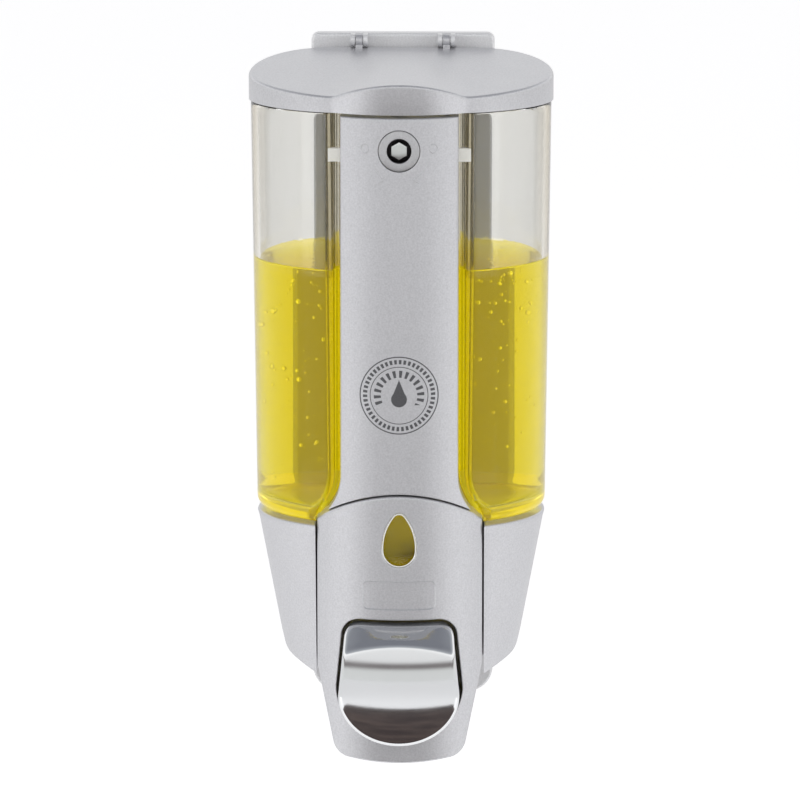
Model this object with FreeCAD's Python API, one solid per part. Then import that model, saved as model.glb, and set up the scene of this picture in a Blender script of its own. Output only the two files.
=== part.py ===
"""Wall mounted push soap dispenser, in millimetres.

The wall is the plane Y = 0 and the dispenser stands out of it towards -Y. Z is up and X = 0 is the
plane of symmetry. The origin is the middle of the wall plate's rear face, on the wall.
"""

import FreeCAD, Part
import math
import os
from FreeCAD import Vector

os.makedirs("parts", exist_ok=True)

# ---- fits ----
panel_gap = 0.3          # between neighbouring mouldings that don't move
shadow_gap = 0.5         # the visible joint between outer covers
running = 0.06           # radial play of a pin or rod that turns or slides
seat_play = 0.03         # play of a pin, screw or ball that stays in its seat

# ---- body plan: one outline seen from above, which lid, tank and base all follow ----
half_width = 39.8        # middle to side, at the lid
widest_y = -36.0         # where the outline is widest
front_depth = 33.2       # from the widest line to the front lobes' crest
rear_corner = 20.8       # width of each rounded rear corner

# ---- front skin: the column and the lower cover share one upright cylinder ----
skin_radius = 27.6
skin_front = -71.5
skin_axis_y = skin_front + skin_radius

# ---- wall plate ----
plate_half_width = 24.4
plate_height = 180.0
plate_depth = 4.5
plate_wall = 2.0
plate_corner_top = 2.0
plate_corner_bottom = 7.0
plate_edge_round = 0.8
plate_least_corner = 0.3
screw_spacing = 110.0
screw_hole_radius = 2.3
screw_head_radius = 4.4
screw_boss_radius = 6.5
cross_rib = 6.0

# ---- hooks on the wall plate, and the hangers that drop over them ----
hook_x = 11.6
hook_width = 4.6
hook_shelf = 1.6
hook_lip = 1.0
hook_rise = 3.0
hang_depth = 3.0         # from the plate's face to the rear of tank and base
hanger_play = 0.2
hanger_height = 2.6
hanger_rib = 1.2
tank_hook_z = 44.0
base_hook_z = -44.0
rear_y = -plate_depth - hang_depth

# ---- tank ----
tank_top = 76.45
tank_bottom = -31.5
tank_inset = 0.5         # tank side behind the lid's side, at the top
tank_draft = 1.3         # extra inset at the bottom
tank_wall = 1.8
tank_round = 3.0         # outside, along the bottom
tank_inner_round = 4.5
groove_half_width = 15.6
groove_floor_y = -55.8
groove_mouth = 3.3       # how far the groove's bevel widens it
groove_bevel_y = -60.6
groove_bevel_depth = 4.7
flare_top = -17.6        # height where the column starts to widen
flare_radius = 15.1
sump_half_width = 11.0
sump_rear_y = -36.0
sump_bottom = -46.5
sump_gap = 0.5
sump_roof_z = -25.0
sump_roof_slope = 0.8
sump_throat = 1.0        # from the groove's floor back to where the well opens upwards
soap_level = 35.0
soap_gap = 0.1

# ---- lid ----
lid_gap = 0.3
lid_rise = 7.35          # from the tank's rim up to the lid's top where it is widest
lid_mid_height = tank_top + lid_rise
lid_slope = 0.096        # fall of the top towards the front, as a tangent
lid_wall = 2.0
lid_rear_y = -6.0
lid_overhang = 0.4       # lid front outside the column's skin
crown_rise = 8.35        # from the tank's rim up to the crown's front end
crown_top = tank_top + crown_rise
crown_half_width = 17.0
crown_radius = 39.0
crown_slope = 0.02
lid_guide_wall = 1.2
lid_guide_gap = 0.4
lid_guide_depth = 1.2
lid_guide_length = 26.0

# ---- lid hinge ----
hinge_y = -7.0
hinge_rise = 11.95       # from the tank's rim up to the pin
hinge_z = tank_top + hinge_rise
hinge_pin_radius = 0.9
hinge_ear_radius = 1.6
plate_top = hinge_z + hinge_ear_radius
plate_bottom = plate_top - plate_height
hinge_ear_wall = 1.2
hinge_side_play = 0.15
hinge_neck_height = 3.1  # from the pin down into the lid's rear edge

# ---- front column ----
column_half_width = 15.2
column_drop = 0.45       # from the tank's rim down to the column's top
column_top = tank_top - column_drop
column_rear_y = -62.4
column_foot_rear_y = -59.0
column_wall = 1.8
column_roof_rear_y = -66.0
column_boss_radius = 2.2
column_boss_x = 13.8
column_boss_y = -61.0
column_boss_bottom = -33.0

# ---- lock ----
lock_drop = 8.85         # from the tank's rim down to the lock's middle
lock_z = tank_top - lock_drop
lock_face_y = -71.1
lock_face_radius = 5.3
lock_face_wall = 2.5
lock_face_gap = 0.12
lock_shaft_radius = 4.3
lock_bore_radius = 3.1
lock_bore_depth = 5.0
hex_across_flats = 4.0
hex_recess = 0.5
lock_boss_radius = 6.2
lock_boss_rear_y = -65.0
retainer_wall = 1.8
retainer_half_width = 18.4
retainer_arm_height = 3.4
retainer_arm_drop = 0.1
retainer_ring_radius = 6.5
lock_groove_depth = 0.6
cam_front_y = -59.4
cam_reach = 11.0
cam_half_width = 1.7
cam_wall = 1.6
cam_hub_radius = 3.4
cam_screw_radius = 1.2
cam_screw_length = 6.0
cam_head_radius = 2.4
cam_head_height = 1.2

# ---- striker: the hook in the lid that the lock's cam holds down ----
striker_grip = 3.6       # how far its foot reaches in under the cam
striker_wall = 1.4
striker_gap = 0.4

# ---- front cover ----
arch_top = -22.4
arch_radius = 35.0
cover_half_width = 21.5
cover_taper_top = -69.0
cover_low_half_width = 17.4
cover_low_z = -88.4
cover_bottom = -93.3
cover_corner = 4.6
cover_sag = 0.8          # how much lower the bottom edge is at its middle
cover_least_corner = 1.0
chin_turn_x = 0.32       # where the chin's corner turns, as shares of its width and height
chin_turn_z = 0.70
cover_wall = 2.0
cover_lug_wall = 2.0
cover_lug_half_depth = 3.0
cover_post_radius = 3.0
cover_post_upper = (16.9, -44.0)
cover_post_lower = (12.6, -86.2)
cover_post_front_y = -56.0
nameplate_half_width = 9.5
nameplate_top = -44.8
nameplate_bottom = -52.5
nameplate_corner = 1.4
nameplate_depth = 0.3

# ---- sight window ----
window_top = -26.9
window_bottom = -41.1
window_top_radius = 1.9
window_bottom_radius = 4.4
window_side_radius = 14.0
window_fit = 0.08
window_sink = 0.3
window_flange = 1.3

# ---- base housing ----
base_wall = 2.0
base_taper = 0.19        # how fast the sides lean in, as a tangent
base_bottom = -73.9
base_rise = 0.5          # how fast the wings' underside rises to the sides, as a tangent
base_round = 4.0         # corner between a wing's underside and its side
bulkhead_y = -33.3
bulkhead_wall = 2.0

# ---- push button ----
button_centre_z = -74.0
button_half_width = 15.7
button_low_height = 13.1
button_shoulder_half_width = 14.3
button_top = -56.0
button_corner = 4.2
button_gap = 0.8
button_crest_y = -79.4
button_crest_z = -77.0
button_face_radius = 75.0
button_face_crown = 62.0
button_facet_angle = 33.0
button_facet_radius = 38.0
button_facet_y = -71.2
button_rear_y = -63.0
button_wall = 1.8
button_boss_radius = 4.8
button_boss_rear_y = -68.0
button_socket_depth = 4.5
guide_depth = 5.5
guide_wall = 1.4

# ---- pump ----
pump_z = -72.0
pump_radius = 9.0
pump_bore = 7.0
pump_front_y = -59.0
pump_end_wall = 2.8
pump_foot_half_width = 14.0
pump_foot_height = 9.0
pump_foot_corner = 3.0
pump_foot_wall = 2.0
pump_screw_x = 11.6
port_y = -44.0
port_radius = 4.6
gland_wall = 2.2
gland_plug = 3.0
rod_radius = 3.2
piston_length = 5.0
piston_play = 0.4
piston_seal_width = 2.0
piston_seal_depth = 1.6
neck_radius = 7.0
neck_bore = 4.0
neck_bottom = -55.0
gasket_wall = 1.0
flange_wall = 2.0
nut_radius = 9.6
nut_lip = 1.6
nut_notches = 12
nut_notch_radius = 1.0
nut_notch_depth = 0.6
nut_top = -49.5

# ---- valves: one under the tank, one over the nozzle ----
valve_bore = 2.2
valve_hole = 1.2
valve_length = 6.0
valve_ledge = 1.0
ball_radius = 1.6

# ---- nozzle ----
nozzle_radius = 6.2
nozzle_drop = 9.6        # from the pump's middle down to the outlet valve's seat
nozzle_body_length = 7.9
nozzle_cone_height = 3.0
nozzle_tip_length = 5.1
nozzle_tip_radius = 3.4
nozzle_bore = 1.5
nozzle_seat_z = pump_z - nozzle_drop
nozzle_shoulder_z = nozzle_seat_z - nozzle_body_length
nozzle_bottom = nozzle_shoulder_z - nozzle_tip_length
nozzle_clearance = 0.8

# ---- springs and screws ----
return_spring_radius = 5.0
return_spring_wire = 0.9
return_spring_turns = 6
valve_spring_radius = 1.5
valve_spring_wire = 0.5
valve_spring_turns = 2.5
screw_radius = 1.3
screw_head = 2.5
screw_head_height = 1.6
screw_length = 10.0
screw_slot = 0.6         # width of a slot or cross recess

FAR = 200.0              # longer than any piece, for cutting tools
PAST = 1.0               # how far a cutting tool runs past the face it opens
SAME = 0.01              # how near an edge lies to a plane to count as lying in it
lid_bottom = tank_top + lid_gap
plate_front = -plate_depth


# ---- shape helpers ----
def box(x0, x1, y0, y1, z0, z1):
    return Part.makeBox(x1 - x0, y1 - y0, z1 - z0, Vector(x0, y0, z0))


def rod_x(radius, y, z, x0, x1):
    return Part.makeCylinder(radius, x1 - x0, Vector(x0, y, z), Vector(1, 0, 0))


def rod_y(radius, x, z, y0, y1):
    return Part.makeCylinder(radius, y1 - y0, Vector(x, y0, z), Vector(0, 1, 0))


def rod_z(radius, x, y, z0, z1):
    return Part.makeCylinder(radius, z1 - z0, Vector(x, y, z0), Vector(0, 0, 1))


def line(a, b):
    return Part.LineSegment(a, b).toShape()


def arc(a, middle, b):
    return Part.Arc(a, middle, b).toShape()


def quarter_ellipse(a, b, centre):
    """Quarter of an ellipse from a to b, which lie on its two axes."""
    if (a - centre).Length < (b - centre).Length:
        a, b = b, a
    return Part.ArcOfEllipse(Part.Ellipse(a, b, centre), 0, math.pi / 2).toShape()


def prism_y(wire, y0, y1):
    """The solid that a front-view outline, drawn at Y = 0, sweeps from y0 to y1."""
    face = Part.Face(wire)
    face.translate(Vector(0, y0, 0))
    return face.extrude(Vector(0, y1 - y0, 0))


def clean(shape):
    return shape.removeSplitter()


def mirrored(shape):
    return shape.mirror(Vector(0, 0, 0), Vector(1, 0, 0))


def both(shape):
    return shape.fuse(mirrored(shape))


def save(name, *solids):
    """Writes one node. Several separate solids share it as a group."""
    shape = solids[0] if len(solids) == 1 else Part.makeCompound(list(solids))
    assert shape.isValid() and shape.Volume > 0, name
    shape.exportStep(f"parts/{name}.step")
    return shape


# ---- outlines ----
def body_outline(inset, rear_y, z):
    """The plan outline at height z, inset from the lid's side, with its flat rear at rear_y."""
    a = half_width - inset
    b = front_depth - inset
    corner = rear_corner - inset
    side = Vector(a, widest_y, z)
    front = Vector(0, widest_y - b, z)
    rear = Vector(a - corner, rear_y, z)
    rear_centre = Vector(a - corner, widest_y, z)
    centre = Vector(0, widest_y, z)

    def flip(v):
        return Vector(-v.x, v.y, v.z)

    edges = [
        quarter_ellipse(side, front, centre),
        quarter_ellipse(flip(side), front, centre),
        quarter_ellipse(flip(side), flip(rear), flip(rear_centre)),
        line(flip(rear), rear),
        quarter_ellipse(side, rear, rear_centre),
    ]
    return Part.Wire(Part.__sortEdges__(edges))


def body_prism(inset0, inset1, rear_y, z0, z1):
    """A solid between two plan outlines, with straight walls."""
    wires = [body_outline(inset0, rear_y, z0), body_outline(inset1, rear_y, z1)]
    return Part.makeLoft(wires, True, True)


def skin(radius_inset, z0, z1):
    """The upright cylinder that the front covers share, made smaller by radius_inset."""
    return rod_z(skin_radius - radius_inset, 0, skin_axis_y, z0, z1)


def flared_outline(grow, top, bottom):
    """Front view of the column: straight sides that flare out to the cover's width, then run down.

    grow widens it on both sides, from the column groove's own width."""
    w = groove_half_width + grow
    r = flare_radius - grow
    centre_x = w + r
    column_radius = centre_x - column_half_width
    turn = math.acos((centre_x - cover_half_width) / column_radius)

    def on_flare(angle):
        return Vector(centre_x - r * math.cos(angle), 0, flare_top - r * math.sin(angle))

    def side(sign):
        def at(v):
            return Vector(sign * v.x, 0, v.z)

        end = on_flare(turn)
        return [
            line(at(Vector(w, 0, top)), at(Vector(w, 0, flare_top))),
            arc(at(on_flare(0)), at(on_flare(turn / 2)), at(end)),
            line(at(end), at(Vector(end.x, 0, bottom))),
        ], end.x

    right, foot = side(1)
    left, foot = side(-1)
    edges = right + left + [
        line(Vector(-w, 0, top), Vector(w, 0, top)),
        line(Vector(-foot, 0, bottom), Vector(foot, 0, bottom)),
    ]
    return Part.Wire(Part.__sortEdges__(edges))


def below_arch(lift):
    """Everything under the arched joint between column and cover, raised by lift."""
    top = arch_top + lift
    spring = top - arch_radius
    left, right = Vector(-arch_radius, 0, spring), Vector(arch_radius, 0, spring)
    low_left, low_right = Vector(-arch_radius, 0, -FAR), Vector(arch_radius, 0, -FAR)
    edges = [arc(left, Vector(0, 0, top), right), line(right, low_right), line(low_right, low_left),
             line(low_left, left)]
    return prism_y(Part.Wire(edges), -FAR, 0)


def cover_outline(inset):
    """Front view of the lower cover below the arch: upright sides, then a tapered and rounded chin."""
    top = 0.0
    w = cover_half_width - inset
    low_w = cover_low_half_width - inset
    low_z = cover_low_z + inset / 2
    bottom = cover_bottom + inset
    r = max(cover_corner - inset, cover_least_corner)
    edge_x = low_w - r
    edge_z = bottom + cover_sag

    def side(sign):
        def p(x, z):
            return Vector(sign * x, 0, z)

        knee = p(low_w, low_z)
        foot = p(edge_x, edge_z)
        mid = p(low_w - r * chin_turn_x, low_z - (low_z - edge_z) * chin_turn_z)
        return [
            line(p(w, top), p(w, cover_taper_top)),
            line(p(w, cover_taper_top), knee),
            arc(knee, mid, foot),
        ]

    edges = side(1) + side(-1) + [
        line(Vector(-w, 0, top), Vector(w, 0, top)),
        arc(Vector(-edge_x, 0, edge_z), Vector(0, 0, bottom), Vector(edge_x, 0, edge_z)),
    ]
    return Part.Wire(Part.__sortEdges__(edges))


def egg_outline(grow):
    """Front view of the sight window: a small circle above a larger one, joined by flat arcs."""
    r1 = window_top_radius + grow
    r2 = window_bottom_radius + grow
    z1 = window_top - window_top_radius
    z2 = window_bottom + window_bottom_radius
    big = window_side_radius + grow
    d = z1 - z2
    # centre of the right-hand side arc: inside-tangent to both circles
    rise = ((big - r2) ** 2 - (big - r1) ** 2 + d * d) / (2 * d)
    back = math.sqrt((big - r2) ** 2 - rise ** 2)
    low = math.atan2(-rise, back)
    high = math.atan2(d - rise, back)

    def on(sign, angle):
        return Vector(sign * (-back + big * math.cos(angle)), 0, z2 + rise + big * math.sin(angle))

    edges = [arc(on(s, low), on(s, (low + high) / 2), on(s, high)) for s in (1, -1)]
    edges.append(arc(on(-1, high), Vector(0, 0, z1 + r1), on(1, high)))
    edges.append(arc(on(-1, low), Vector(0, 0, z2 - r2), on(1, low)))
    return Part.Wire(Part.__sortEdges__(edges))


def button_outline(grow):
    """Front view of the push button: a half-ellipse below, sides that lean in, and a rounded top."""
    a = button_half_width + grow
    b = button_low_height + grow
    w = button_shoulder_half_width + grow
    r = button_corner + grow
    top = button_top + grow
    side_top = top - r
    edges = []
    for s in (1, -1):
        hip = Vector(s * a, 0, button_centre_z)
        low = Vector(0, 0, button_centre_z - b)
        edges.append(quarter_ellipse(hip, low, Vector(0, 0, button_centre_z)))
        shoulder = Vector(s * w, 0, side_top)
        edges.append(line(hip, shoulder))
        mid = Vector(s * (w - r + r * math.sin(math.pi / 4)), 0, top - r + r * math.cos(math.pi / 4))
        edges.append(arc(shoulder, mid, Vector(s * (w - r), 0, top)))
    edges.append(line(Vector(-(w - r), 0, top), Vector(w - r, 0, top)))
    return Part.Wire(Part.__sortEdges__(edges))


def plate_outline(inset):
    """Front view of the wall plate: a tall rectangle whose lower corners are rounder."""
    w = plate_half_width - inset
    top = plate_top - inset
    bottom = plate_bottom + inset
    rt = max(plate_corner_top - inset, plate_least_corner)
    rb = max(plate_corner_bottom - inset, plate_least_corner)
    diag = 1 - math.sqrt(0.5)
    edges = []
    for s in (1, -1):
        edges.append(line(Vector(s * w, 0, bottom + rb), Vector(s * w, 0, top - rt)))
        edges.append(arc(Vector(s * w, 0, top - rt), Vector(s * (w - diag * rt), 0, top - diag * rt),
                         Vector(s * (w - rt), 0, top)))
        edges.append(arc(Vector(s * w, 0, bottom + rb),
                         Vector(s * (w - diag * rb), 0, bottom + diag * rb),
                         Vector(s * (w - rb), 0, bottom)))
    edges.append(line(Vector(-(w - rt), 0, top), Vector(w - rt, 0, top)))
    edges.append(line(Vector(-(w - rb), 0, bottom), Vector(w - rb, 0, bottom)))
    return Part.Wire(Part.__sortEdges__(edges))


def rounded_box_y(w, z0, z1, r, y0, y1):
    """A block of half-width w whose corners are rounded as seen from the front."""
    core = box(-w + r, w - r, y0, y1, z0, z1)
    core = core.fuse(box(-w, w, y0, y1, z0 + r, z1 - r))
    for x in (-w + r, w - r):
        for z in (z0 + r, z1 - r):
            core = core.fuse(rod_y(r, x, z, y0, y1))
    return clean(core)


def groove_tool(grow):
    """The column's groove in the tank's front, with its bevelled and flared mouth."""
    mouth_y = groove_bevel_y - groove_bevel_depth
    top = tank_top + tank_wall
    bottom = tank_bottom - tank_wall
    inner = flared_outline(grow, top, bottom)
    outer = flared_outline(grow + groove_mouth, top, bottom)
    straight = prism_y(inner, groove_bevel_y, groove_floor_y + grow)
    near = inner.copy()
    near.translate(Vector(0, groove_bevel_y, 0))
    far = outer.copy()
    far.translate(Vector(0, mouth_y, 0))
    bevel = Part.makeLoft([near, far], True, True)
    return straight.fuse([bevel, prism_y(outer, mouth_y - FAR, mouth_y)])


def coil(radius, wire, turns, length):
    """A compression spring of round wire that stands on the origin along +Z."""
    pitch = (length - wire) / turns
    helix = Part.makeHelix(pitch, pitch * turns, radius)
    start = Part.Circle(Vector(radius, 0, 0), Vector(0, 1, 0), wire / 2)
    spring = Part.Wire(helix.Edges).makePipeShell([Part.Wire([start.toShape()])], True, True)
    spring.translate(Vector(0, 0, wire / 2))
    return spring


def screw_y(x, z, face_y, sign):
    """A pan-head screw along Y whose head seats on face_y and whose shank runs towards sign."""
    head_y = face_y - sign * screw_head_height
    tip_y = face_y + sign * screw_length
    head = rod_y(screw_head, x, z, min(face_y, head_y), max(face_y, head_y))
    shank = rod_y(screw_radius, x, z, min(face_y, tip_y), max(face_y, tip_y))
    recess_y = head_y + sign * screw_head_height / 2
    slots = [box(x - screw_head / 2, x + screw_head / 2, min(head_y, recess_y),
                 max(head_y, recess_y), z - screw_slot / 2, z + screw_slot / 2)]
    slots.append(slots[0].copy())
    slots[1].rotate(Vector(x, 0, z), Vector(0, 1, 0), 90)
    return head.fuse(shank).cut(slots)


# ---- wall plate and its hooks ----
def hook(x, z):
    """One upturned hook; z is the top of its shelf."""
    reach = plate_front - hang_depth + panel_gap
    shelf = box(x - hook_width / 2, x + hook_width / 2, reach, plate_front + plate_wall / 2,
                z - hook_shelf, z)
    lip = box(x - hook_width / 2, x + hook_width / 2, reach, reach + hook_lip, z - hook_shelf,
              z + hook_rise)
    return shelf.fuse(lip)


def hanger(x, z):
    """The bar and two ribs behind tank or base that drop over one hook."""
    inner = hook_width / 2 + panel_gap
    outer = inner + hanger_rib
    bar_front = plate_front - hang_depth + panel_gap + hook_lip + hanger_play
    bar = box(x - outer, x + outer, bar_front, plate_front - hanger_play, z, z + hanger_height)
    ribs = [box(x + s * inner if s > 0 else x - outer, x + outer if s > 0 else x - inner,
                rear_y - tank_wall / 2, plate_front - hanger_play, z, z + hanger_height)
            for s in (1, -1)]
    return bar.fuse(ribs)


def hinge_ears(x):
    """The two ears on the plate that hold one hinge pin."""
    ears = []
    for x0 in (x - hook_width / 2, x + hook_width / 2 - hinge_ear_wall):
        x1 = x0 + hinge_ear_wall
        ears.append(rod_x(hinge_ear_radius, hinge_y, hinge_z, x0, x1))
        ears.append(box(x0, x1, hinge_y, plate_front + plate_wall / 2, hinge_z - hinge_ear_radius,
                        hinge_z + hinge_ear_radius))
    return ears[0].fuse(ears[1:])


def wall_plate():
    plate = prism_y(plate_outline(0), plate_front, 0)
    rim = [e for e in plate.Edges if abs(e.BoundBox.YMax - plate_front) < SAME]
    plate = plate.makeFillet(plate_edge_round, rim)
    plate = plate.cut(prism_y(plate_outline(plate_wall), plate_front + plate_wall, 0))
    ribs = [box(-plate_half_width + plate_wall, plate_half_width - plate_wall, plate_front + plate_wall,
                0, -cross_rib / 2, cross_rib / 2)]
    holes = []
    for z in (screw_spacing / 2, -screw_spacing / 2):
        ribs.append(rod_y(screw_boss_radius, 0, z, plate_front + plate_wall / 2, 0))
        holes.append(rod_y(screw_hole_radius, 0, z, -FAR, FAR))
        holes.append(rod_y(screw_head_radius, 0, z, plate_front, plate_front + plate_wall))
    for x in (hook_x, -hook_x):
        ribs += [hook(x, tank_hook_z), hook(x, base_hook_z), hinge_ears(x)]
        holes.append(rod_x(hinge_pin_radius + seat_play, hinge_y, hinge_z, x - hook_width,
                           x + hook_width))
    return clean(plate.fuse(ribs).cut(holes))


def hinge_pins():
    return [rod_x(hinge_pin_radius, hinge_y, hinge_z, x - hook_width / 2, x + hook_width / 2)
            for x in (hook_x, -hook_x)]


# ---- tank ----
def sump_block(wall, z_top):
    """The tank's central well, which comes forward under the column to the sight window."""
    w = sump_half_width - wall
    front = skin_front + cover_wall + sump_gap + wall
    roof = sump_roof_z - wall
    rise_y = groove_floor_y + tank_wall + sump_throat
    points = [
        Vector(-w, sump_rear_y - wall, sump_bottom + wall),
        Vector(-w, front - PAST, sump_bottom + wall),
        Vector(-w, front - PAST, roof), Vector(-w, rise_y, roof + (rise_y - front) * sump_roof_slope),
        Vector(-w, rise_y, z_top), Vector(-w, sump_rear_y - wall, z_top),
    ]
    points.append(points[0])
    block = Part.Face(Part.makePolygon(points)).extrude(Vector(2 * w, 0, 0))
    return block.common(skin(cover_wall + sump_gap + wall, -FAR, FAR))


def tank_body(wall, top):
    """The tank's solid outer form, or with wall the space inside it."""
    draft = tank_draft / (tank_top - tank_bottom)
    low = tank_bottom + wall
    top_inset = tank_inset + wall + draft * (tank_top - top)
    low_inset = tank_inset + wall + draft * (tank_top - low)
    body = body_prism(top_inset, low_inset, rear_y - wall, top, low)
    radius = tank_inner_round if wall else tank_round
    foot = [e for e in body.Edges if abs(e.BoundBox.ZMax - low) < SAME]
    body = body.makeFillet(radius, foot).cut(groove_tool(wall))
    return body.fuse(sump_block(wall, low + radius + PAST))


def tank_space(gap, top):
    """What the tank can hold up to height top, kept clear of its walls by gap."""
    space = tank_body(tank_wall + gap, top)
    bore = rod_z(neck_bore - gap, 0, port_y, neck_bottom + gap, sump_bottom + tank_wall + PAST)
    return space.fuse(bore)


def tank():
    body = tank_body(0, tank_top)
    neck = rod_z(neck_radius, 0, port_y, neck_bottom, sump_bottom + tank_wall / 2)
    body = body.fuse([neck, hanger(hook_x, tank_hook_z), hanger(-hook_x, tank_hook_z)])
    bore = rod_z(neck_bore, 0, port_y, neck_bottom - PAST, sump_bottom + tank_wall)
    return clean(body.cut([tank_space(0, tank_top + PAST), bore]))


def soap_fill():
    return clean(tank_space(soap_gap, soap_level))


# ---- lid ----
def under_lid_plane(drop):
    """Everything below the lid's sloping top, lowered by drop."""
    def z(y):
        return lid_mid_height + lid_slope * (y - widest_y) - drop

    points = [Vector(-FAR, -FAR, z(-FAR)), Vector(-FAR, FAR, z(FAR)), Vector(-FAR, FAR, -FAR),
              Vector(-FAR, -FAR, -FAR)]
    points.append(points[0])
    return Part.Face(Part.makePolygon(points)).extrude(Vector(2 * FAR, 0, 0))


def crown_cylinder(drop):
    """The long cylinder whose top is the lid's raised middle, lowered by drop."""
    direction = Vector(0, 1, crown_slope)
    direction.normalize()
    centre = Vector(0, skin_front, crown_top - crown_radius) - direction * FAR
    return Part.makeCylinder(crown_radius - drop, 2 * FAR, centre, direction)


def lid_form(wall):
    """The lid's outer form, or with wall the hollow inside it."""
    low = lid_bottom - (PAST if wall else 0)
    plan = body_prism(wall, wall, lid_rear_y - wall, low, FAR)
    nose = skin(wall - lid_overhang, low, FAR)
    w = crown_half_width - wall
    band = box(-w, w, -FAR, 0, low, FAR)
    nose = nose.common(box(-w, w, -FAR, groove_floor_y, low, FAR))
    crown = plan.common(band).fuse(nose).common(crown_cylinder(wall))
    return clean(plan.common(under_lid_plane(wall)).fuse(crown))


def lid_guides():
    """Two ribs under the lid that locate it inside the tank's rim."""
    near = tank_inset + tank_wall + lid_guide_gap
    low = tank_top - lid_guide_depth
    far = near + lid_guide_wall
    ring = body_prism(near, near, rear_y - tank_wall, low, crown_top)
    ring = ring.cut(body_prism(far, far, rear_y - tank_wall, low - PAST, crown_top + PAST))
    side = box(half_width / 2, half_width, widest_y - lid_guide_length / 2,
               widest_y + lid_guide_length / 2, 0, crown_top)
    return both(ring.common(side)).common(under_lid_plane(lid_wall / 2))


def striker():
    """The hook that hangs from the lid beside the lock's cam."""
    sweep = math.hypot(cam_reach, cam_half_width)
    inner_x = cam_reach - striker_grip
    strap_x = sweep + striker_gap
    y0 = cam_front_y - striker_gap
    y1 = cam_front_y + cam_wall + striker_gap
    foot_top = lock_z - cam_half_width - striker_gap
    foot = box(inner_x, strap_x + striker_wall, y0, y1, foot_top - striker_wall, foot_top)
    strap = box(strap_x, strap_x + striker_wall, y0, y1, foot_top - striker_wall, lid_bottom)
    root = box(strap_x, strap_x + striker_wall, y0, y1, lid_bottom, FAR)
    return foot.fuse([strap, root.common(lid_form(lid_wall / 2))])


def hinge_knuckle(x):
    w = hook_width / 2 - hinge_ear_wall - hinge_side_play
    barrel = rod_x(hinge_ear_radius, hinge_y, hinge_z, x - w, x + w)
    neck = box(x - w, x + w, hinge_y - hinge_ear_radius, lid_rear_y - lid_wall / 4,
               hinge_z - hinge_neck_height, hinge_z)
    return barrel.fuse(neck)


def lid():
    outer = lid_form(0)
    body = outer.cut(lid_form(lid_wall))
    body = body.fuse([lid_guides(), striker(), hinge_knuckle(hook_x), hinge_knuckle(-hook_x)])
    bore = rod_x(hinge_pin_radius + running, hinge_y, hinge_z, -FAR, FAR)
    return clean(body.cut(bore))


# ---- front column ----
def column_form(wall, top):
    """The column's outer form up to top, or with wall the space inside it."""
    grow = column_half_width - groove_half_width - wall
    form = prism_y(flared_outline(grow, top, cover_bottom), -FAR, column_foot_rear_y + wall)
    return form.common(skin(wall, -FAR, FAR))


def column_boss(x):
    boss = rod_z(column_boss_radius, x, column_boss_y, column_boss_bottom, flare_top)
    return boss


def front_column():
    outer = column_form(0, column_top)
    above_foot = box(-FAR, FAR, column_rear_y, 0, flare_top, FAR)
    behind_roof = column_form(column_wall, column_top + PAST).common(
        box(-FAR, FAR, column_roof_rear_y, 0, flare_top, FAR))
    body = outer.cut([column_form(column_wall, column_top - column_wall), behind_roof,
                      below_arch(shadow_gap), above_foot])
    bosses = [column_boss(s * column_boss_x).common(outer) for s in (1, -1)]
    ring = rod_y(lock_boss_radius, 0, lock_z, skin_front, lock_boss_rear_y).common(outer)
    body = body.fuse(bosses + [ring])
    arm_top = lock_z - retainer_arm_drop + panel_gap
    cuts = [
        box(-FAR, FAR, lock_boss_rear_y - panel_gap, 0,
            arm_top - retainer_arm_height - 2 * panel_gap, arm_top).cut(
                box(-lock_boss_radius, lock_boss_radius, -FAR, lock_boss_rear_y, 0, FAR)),
        rod_y(lock_face_radius + lock_face_gap, 0, lock_z, -FAR, lock_face_y + lock_face_wall),
        rod_y(lock_shaft_radius + running, 0, lock_z, -FAR, 0),
    ]
    for s in (1, -1):
        cuts.append(rod_z(screw_radius + seat_play, s * column_boss_x, column_boss_y,
                          column_boss_bottom - PAST,
                          column_boss_bottom + screw_length - cover_lug_wall))
    return clean(body.cut(cuts))


def column_screws():
    """Two screws that rise through the cover's lugs into the column's foot."""
    screws = []
    face = column_boss_bottom - cover_lug_wall
    for s in (1, -1):
        screw = screw_y(0, 0, 0, 1)
        screw.rotate(Vector(0, 0, 0), Vector(1, 0, 0), 90)
        screw.translate(Vector(s * column_boss_x, column_boss_y, face))
        screws.append(screw)
    return screws


# ---- lock ----
def lock_barrel():
    face_rear = lock_face_y + lock_face_wall - seat_play
    body = rod_y(lock_face_radius, 0, lock_z, lock_face_y, face_rear)
    body = body.fuse(rod_y(lock_shaft_radius, 0, lock_z, lock_face_y, cam_front_y))
    reach = hex_across_flats / math.sqrt(3)
    corners = []
    for k in range(6 + 1):
        a = 2 * math.pi * (k + 0.5) / 6
        corners.append(Vector(reach * math.cos(a), 0, lock_z + reach * math.sin(a)))
    post = prism_y(Part.makePolygon(corners), lock_face_y + hex_recess, lock_face_y + lock_bore_depth)
    well = rod_y(lock_bore_radius, 0, lock_z, lock_face_y - PAST, lock_face_y + lock_bore_depth)
    well = well.cut(post)
    groove = rod_y(2 * lock_shaft_radius, 0, lock_z, lock_boss_rear_y - running,
                   lock_boss_rear_y + retainer_wall + running)
    groove = groove.cut(rod_y(lock_shaft_radius - lock_groove_depth, 0, lock_z, -FAR, 0))
    thread = rod_y(cam_screw_radius + seat_play, 0, lock_z,
                   cam_front_y + cam_wall - cam_screw_length, cam_front_y + PAST)
    return clean(body.cut([well, groove, thread]))


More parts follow.
